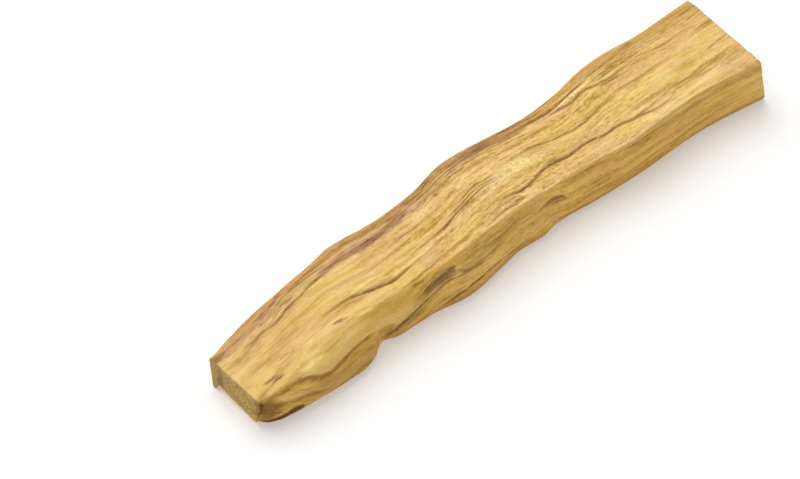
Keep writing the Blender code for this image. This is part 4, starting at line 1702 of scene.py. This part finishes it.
@dataclass(frozen=True)
class SplitWood:
    """Raw palo santo: golden wood whose tone runs from pale to brown, with stains and creases."""

    tones: tuple[tuple[float, Colour], ...] = (
        (0.0, linear(255, 232, 172)),
        (0.25, linear(246, 212, 142)),
        (0.5, linear(232, 192, 114)),
        (0.68, linear(210, 168, 88)),
        (0.84, linear(176, 132, 58)),
        (1.0, linear(128, 90, 34)),
    )
    middle_tone: float = 0.5
    fibre: Figure = Figure(7.0, 0.3)
    streak: Figure = Figure(16.0, 0.8, 3.0)
    dash: Figure = Figure(1.5, 0.24)
    broad_swing: Swing = Swing(streak=0.5)
    fine_swing: Swing = Swing(fibre=0.28, dash=0.34)
    band: Figure = Figure(42.0, 2.6)
    band_tone: float = 0.5
    patch: Figure = Figure(7.0, 1.5)
    patch_tone: float = 0.45
    mottle: Figure = Figure(0.55, 0.4)
    mottle_tone: float = 0.24
    pore: Fleck = Fleck(Figure(2.2, 0.2, 1.0), 0.62, 0.76, 0.05)
    pale_fleck: Fleck = Fleck(Figure(3.2, 0.22, 1.0), 0.62, 0.78, -0.07)
    # Painted shade that darkens the long sides, together with a yellower hue.
    side_shade_and_hue: Colour = linear(252, 243, 202)
    side_calm: float = 0.3
    # Painted shade at the foot of the front face.
    foot_painted_shade: Colour = tint(192, 150, 82)
    hue: Figure = Figure(9.0, 2.2)
    peach: Coat = Coat(tint(226, 184, 126), 0.48, 0.66, 0.55)
    yellow: Coat = Coat(tint(226, 193, 104), 0.52, 0.34, 0.5)
    heart_reach: tuple[float, float] = (0.0, 0.5)
    heart_blotches: tuple[tuple[Figure, Coat], ...] = (
        (Figure(7.0, 0.9), Coat(tint(222, 175, 112), 0.46, 0.62)),
        (Figure(3.5, 0.7), Coat(tint(188, 149, 98), 0.54, 0.66)),
    )
    stains: tuple[tuple[Stain, Coat], ...] = (
        # Pale wood, and painted highlights along the front arris.
        (Stain.PALE, Coat(tint(250, 222, 160), most=0.9)),
        (Stain.OLIVE, Coat(tint(186, 150, 84), most=0.75)),
        (Stain.HEART, Coat(tint(203, 166, 114), high=0.6, most=0.95)),
        (Stain.WARM, Coat(tint(192, 150, 80), most=0.85)),
        (Stain.BROWN, Coat(tint(170, 130, 74), most=0.85)),
        (Stain.KNOT, Coat(tint(142, 98, 50), high=0.85, most=0.9)),
    )
    stain_edge: Swing = Swing(fibre=0.7, streak=0.8, dash=0.5)
    stain_edge_reach: tuple[float, float] = (0.0, 0.3)
    wander: Figure = Figure(3.0, 0.5)
    wander_reach: float = 2.2
    tremble: Figure = Figure(1.1, 0.22)
    tremble_reach: float = 1.6
    worn: Figure = Figure(2.4, 1.0)
    worn_reach: tuple[float, float] = (0.28, 0.5)
    worn_least: float = 0.55
    # Painted shade around each crease; its colour is also the ochre of the lightest creases.
    line_shade: Coat = Coat(linear(184, 132, 52), 2.8, 0.6, 0.25)
    # Painted highlight on each crease's lip.
    lip_highlight: Coat = Coat(linear(250, 222, 160), 1.1, 0.2, 0.35)
    lip_place: float = 2.1
    # The crease's dark line, partly painted shade in its groove.
    line: Coat = Coat(linear(112, 72, 24), 1.15, 0.4, 0.95)
    # Painted shade in the broken near corner's dent.
    broken: Coat = Coat(linear(128, 86, 34), 0.25, 0.8, 0.85)
    broken_edge: Swing = Swing(fibre=0.5, streak=0.4)
    # Dark marks low by the near end, and the painted shadow in the chip's groove.
    dark: Coat = Coat(linear(84, 52, 16), 0.15, 0.7, 0.92)
    dark_edge: Swing = Swing(fibre=0.4, dash=0.3)
    end_wood: Colour = linear(204, 168, 92)
    end_patch: Figure = Figure(3.0, 1.6)
    end_shade: Coat = Coat(linear(164, 130, 64), 0.35, 0.65, 0.6)
    end_speckle: Figure = Figure(0.5, 0.34, 3.0)
    end_pore: Coat = Coat(linear(132, 100, 46), 0.48, 0.7, 0.7)
    pith: tuple[float, float] = (17.0, -8.0)
    ring: Coat = Coat(end_shade.colour, 0.2, 1.0, 0.55)
    ring_width: float = 1.15
    ring_waver: float = 2.5
    ray: Coat = Coat(linear(216, 182, 110), 0.5, 1.0, 0.3)
    rays: float = 150.0
    ray_waver: float = 5.0
    # Painted shade in the near end's upright notch.
    notch: Coat = Coat(linear(116, 86, 38), most=0.6)
    tooth_wood: Colour = linear(188, 150, 72)
    tooth_most: float = 0.8
    roughness: float = 0.62
    roughness_swing: Swing = Swing(streak=0.25)
    specular: float = 0.2
    bump_height: float = 0.00006
    bump_strength: float = 0.8
    bump_swing: Swing = Swing(fibre=0.5, dash=0.3)
    hair: Figure = Figure(3.0, 0.15)
    hair_height: float = 0.3

    def material(self) -> bpy.types.Material:
        """Builds the finish.

        Returns:
            The material, which reads the masks that the stick is painted with.
        """
        tree = Tree("palo_santo_wood")
        grain = tree.painted("grain")
        own = (tree.noise(grain, figure) for figure in (self.fibre, self.streak, self.dash))
        pattern = Pattern(tree, grain, *own)
        end, side, fray = tree.parts(tree.painted("place"))
        dark, notch, tooth = tree.parts(tree.painted("marks"))
        # Painted shade of the broken near corner and of the front face's foot.
        broken, foot_shade, _ = tree.parts(tree.painted("painted_shade"))
        tone = self.tone(pattern, fray * (1.0 - side * self.side_calm))
        split = self.clean(pattern, tone)
        split = self.stained(pattern, split)
        # Painted shade and a yellower hue on the long sides.
        split = tree.tinge(side, split, self.side_shade_and_hue)
        # Painted shade darkens the front face towards its foot.
        split = tree.tinge(foot_shade, split, self.foot_painted_shade)
        split = self.creased(pattern, split)
        colour = tree.mix(end, split, self.sawn_end(pattern, notch, tooth))
        # Painted shade in the broken near corner's dent, with a ragged edge.
        broken = self.broken.share(broken + pattern.swing(self.broken_edge))
        colour = tree.mix(broken, colour, self.broken.colour)
        # Dark marks low by the near end, and the painted shadow in the chip's groove.
        dark = self.dark.share(dark + pattern.swing(self.dark_edge))
        colour = tree.mix(dark, colour, self.dark.colour)
        height = pattern.swing(self.bump_swing) + pattern.ripple(self.hair, self.hair_height)
        bump = {"Strength": self.bump_strength, "Distance": self.bump_height, "Height": height}
        surface = {
            "Base Color": colour,
            "Roughness": pattern.swing(self.roughness_swing) + self.roughness,
            "Specular IOR Level": self.specular,
            "Normal": tree.add("ShaderNodeBump", {}, bump).outputs["Normal"],
        }
        for name, value in surface.items():
            tree.feed(tree.shader.inputs[name], value)
        return tree.material

    def tone(self, pattern: Pattern, fray: Value) -> Value:
        """Tone of clean split wood, from bands down to single fibres, flecks and pores.

        Args:
            pattern: The wood's own noises.
            fray: How broken up the fibres are.

        Returns:
            0 for pale wood to 1 for brown, about 0.5 on average.
        """
        broad = pattern.swing(self.broad_swing) + self.middle_tone
        broad = broad + pattern.ripple(self.band, self.band_tone)
        broad = broad + pattern.ripple(self.patch, self.patch_tone)
        fine = pattern.swing(self.fine_swing) + pattern.ripple(self.mottle, self.mottle_tone)
        for fleck in (self.pore, self.pale_fleck):
            fine = fine + pattern.noise(fleck.figure).rise(fleck.low, fleck.high) * fleck.tone
        return broad + fray * fine

    def clean(self, pattern: Pattern, tone: Value) -> Socket:
        """Colour of clean split wood, a little more peach or yellow from place to place.

        Args:
            pattern: The wood's own noises.
            tone: 0 for pale wood to 1 for brown.

        Returns:
            The colour.
        """
        tree = pattern.tree
        colour = tree.add("ShaderNodeValToRGB", {"stops": self.tones}, {"Fac": tone}).outputs["Color"]
        hue = pattern.noise(self.hue)
        for coat in (self.peach, self.yellow):
            colour = tree.tinge(coat.share(hue), colour, coat.colour)
        return colour

    def stained(self, pattern: Pattern, colour: Socket) -> Socket:
        """Lays the patches of heartwood, knots and other tints over the wood.

        Args:
            pattern: The wood's own noises.
            colour: The colour so far.

        Returns:
            The stained colour.
        """
        tree = pattern.tree
        masks = tree.parts(tree.painted("stain_a")) + tree.parts(tree.painted("stain_b"))
        edge = pattern.swing(self.stain_edge)
        heart = masks[Stain.HEART.value].rise(*self.heart_reach)
        for figure, coat in self.heart_blotches:
            colour = tree.tinge(coat.share(pattern.noise(figure)) * heart, colour, coat.colour)
        for stain, coat in self.stains:
            mask = masks[stain.value]
            ragged = mask + edge * mask.rise(*self.stain_edge_reach)
            colour = tree.tinge(coat.share(ragged), colour, coat.colour)
        return colour

    def creased(self, pattern: Pattern, colour: Socket) -> Socket:
        """Draws the creases: a ragged dark line that is partly painted shade, painted shade around it and
        a painted highlight on its lip.

        Args:
            pattern: The wood's own noises.
            colour: The colour so far.

        Returns:
            The colour with its creases.
        """
        tree = pattern.tree
        wobble = pattern.ripple(self.wander, self.wander_reach)
        wobble = wobble + pattern.ripple(self.tremble, self.tremble_reach)
        worn = pattern.noise(self.worn).rise(*self.worn_reach) * (1 - self.worn_least) + self.worn_least
        for number in range(len(CREASES)):
            distance, strength, tone = tree.parts(tree.painted(f"crease_{number}"))
            away = distance + wobble
            # Painted shade around the crease, a painted highlight on its lip, and its dark line, partly
            # painted shade.
            shade = self.line_shade.share(abs(away)) * strength
            lip = self.lip_highlight.share(abs(away - self.lip_place)) * strength
            line = self.line.share(abs(away)) * strength * worn
            colour = tree.mix(shade, colour, self.line_shade.colour)
            colour = tree.mix(lip, colour, self.lip_highlight.colour)
            colour = tree.mix(line, colour, tree.mix(tone, self.line_shade.colour, self.line.colour))
        return colour

    def sawn_end(self, pattern: Pattern, notch: Value, tooth: Value) -> Socket:
        """Colour of the sawn ends: growth rings around a far-off pith, rays, open pores and a notch's
        painted shade.

        Args:
            pattern: The wood's own noises.
            notch: Where the near end's upright notch gets its painted shade.
            tooth: Where the near end has its golden tooth.

        Returns:
            The colour.
        """
        tree = pattern.tree
        patch, speckle = pattern.noise(self.end_patch), pattern.noise(self.end_speckle)
        _, y, z = tree.parts(pattern.grain)
        across, up = y - self.pith[0], z - self.pith[1]
        away = (across * across + up * up).root()
        ring = (away * (math.tau / self.ring_width) + patch * self.ring_waver).sine()
        ray = (up.angle(across) * self.rays + speckle * self.ray_waver).sine()
        colour = tree.mix(self.end_shade.share(patch), self.end_wood, self.end_shade.colour)
        colour = tree.mix(tooth * self.tooth_most, colour, self.tooth_wood)
        overlays = ((self.ring, ring), (self.ray, ray), (self.end_pore, speckle), (self.notch, notch))
        for coat, mask in overlays:
            colour = tree.mix(coat.share(mask), colour, coat.colour)
        return colour


@dataclass
class Studio:
    """A pale floor, soft light from above and a long lens.

    The aim is a point of the drawing and the floor's drop is in millimetres. The other
    lengths are in metres, but for the lens, which is in millimetres of focal length.
    """

    azimuth: float = -42.0
    elevation: float = 50.0
    distance: float = 0.5
    lens: float = 149.5
    aim: tuple[float, float, float] = (-13.74, 5.09, 5.0)
    clip_start: float = 0.01
    floor_size: float = 6.0
    floor_drop: float = 0.02
    floor_colour: float = 0.8
    floor_roughness: float = 0.9
    floor_glow: float = 0.25
    sky: float = 0.46
    key_energy: float = 3.6
    key_size: float = 0.7
    key_place: tuple[float, float, float] = (0.0, 0.30, 0.64)

    def floor(self) -> bpy.types.Object:
        """Lays the floor.

        Returns:
            The floor.
        """
        half = self.floor_size / 2
        mesh = bpy.data.meshes.new("floor")
        square = ((-half, -half, 0), (half, -half, 0), (half, half, 0), (-half, half, 0))
        mesh.from_pydata(square, [], [(0, 1, 2, 3)])
        tree = Tree("pale_floor")
        surface = {
            "Base Color": (self.floor_colour,) * 3,
            "Roughness": self.floor_roughness,
            "Emission Color": (1.0, 1.0, 1.0),
            "Emission Strength": self.floor_glow,
        }
        for name, value in surface.items():
            tree.feed(tree.shader.inputs[name], value)
        mesh.materials.append(tree.material)
        floor = bpy.data.objects.new("floor", mesh)
        floor.location.z = -self.floor_drop * MM
        bpy.context.scene.collection.objects.link(floor)
        return floor

    def lights(self) -> None:
        """Hangs one large soft light over the stick, in an evenly lit room."""
        world = bpy.data.worlds.new("studio")
        world.use_nodes = True
        background = world.node_tree.nodes["Background"]
        background.inputs["Color"].default_value = (1.0, 1.0, 1.0, 1.0)
        background.inputs["Strength"].default_value = self.sky
        bpy.context.scene.world = world
        lamp = bpy.data.lights.new("soft_box", "AREA")
        lamp.shape = "DISK"
        lamp.size = self.key_size
        lamp.energy = self.key_energy
        light = bpy.data.objects.new("soft_box", lamp)
        light.location = self.key_place
        light.rotation_euler = Vector(self.key_place).to_track_quat("Z", "Y").to_euler()
        bpy.context.scene.collection.objects.link(light)

    def camera(self) -> bpy.types.Object:
        """Sets the camera at the photograph's angle.

        Returns:
            The camera.
        """
        turn, tilt = math.radians(self.azimuth), math.radians(self.elevation)
        back = Vector((math.sin(turn) * math.cos(tilt), -math.cos(turn) * math.cos(tilt), math.sin(tilt)))
        right = Vector((math.cos(turn), math.sin(turn), 0.0))
        target = Vector((np.array(self.aim) - MIDDLE) * MM)
        lens = bpy.data.cameras.new("camera")
        lens.lens = self.lens
        lens.clip_start = self.clip_start
        camera = bpy.data.objects.new("camera", lens)
        turned = Matrix((right, back.cross(right), back)).transposed()
        camera.matrix_world = Matrix.Translation(target + back * self.distance) @ turned.to_4x4()
        bpy.context.scene.collection.objects.link(camera)
        bpy.context.scene.camera = camera
        return camera

    def grade(self) -> None:
        """Shows colours as they are, with no film curve."""
        bpy.context.scene.view_settings.view_transform = "Standard"
        bpy.context.scene.view_settings.look = "None"


def attach(piece: bpy.types.Object, finish: bpy.types.Material, node: Optional[str] = None) -> None:
    """Finishes a piece and fixes it to the stick's body.

    Args:
        piece: The piece to attach.
        finish: Its material.
        node: The solid that the piece stands for, if it does.
    """
    piece.data.materials.append(finish)
    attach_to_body(piece, BODY)
    if node:
        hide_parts(node)
    log.info("%s: %d faces", piece.name, len(piece.data.polygons))


def main() -> None:
    """Builds the stick's looks in the frame and the studio around it."""
    logging.basicConfig(level=logging.INFO, format="%(name)s %(message)s")
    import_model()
    studio = Studio()
    studio.floor()
    studio.lights()
    studio.camera()
    studio.grade()
    finish = SplitWood().material()
    stick = Stick()
    attach(stick.build(), finish, NODE)
    attach(Splinters(stick).build(), finish)


if __name__ == "__main__":
    main()
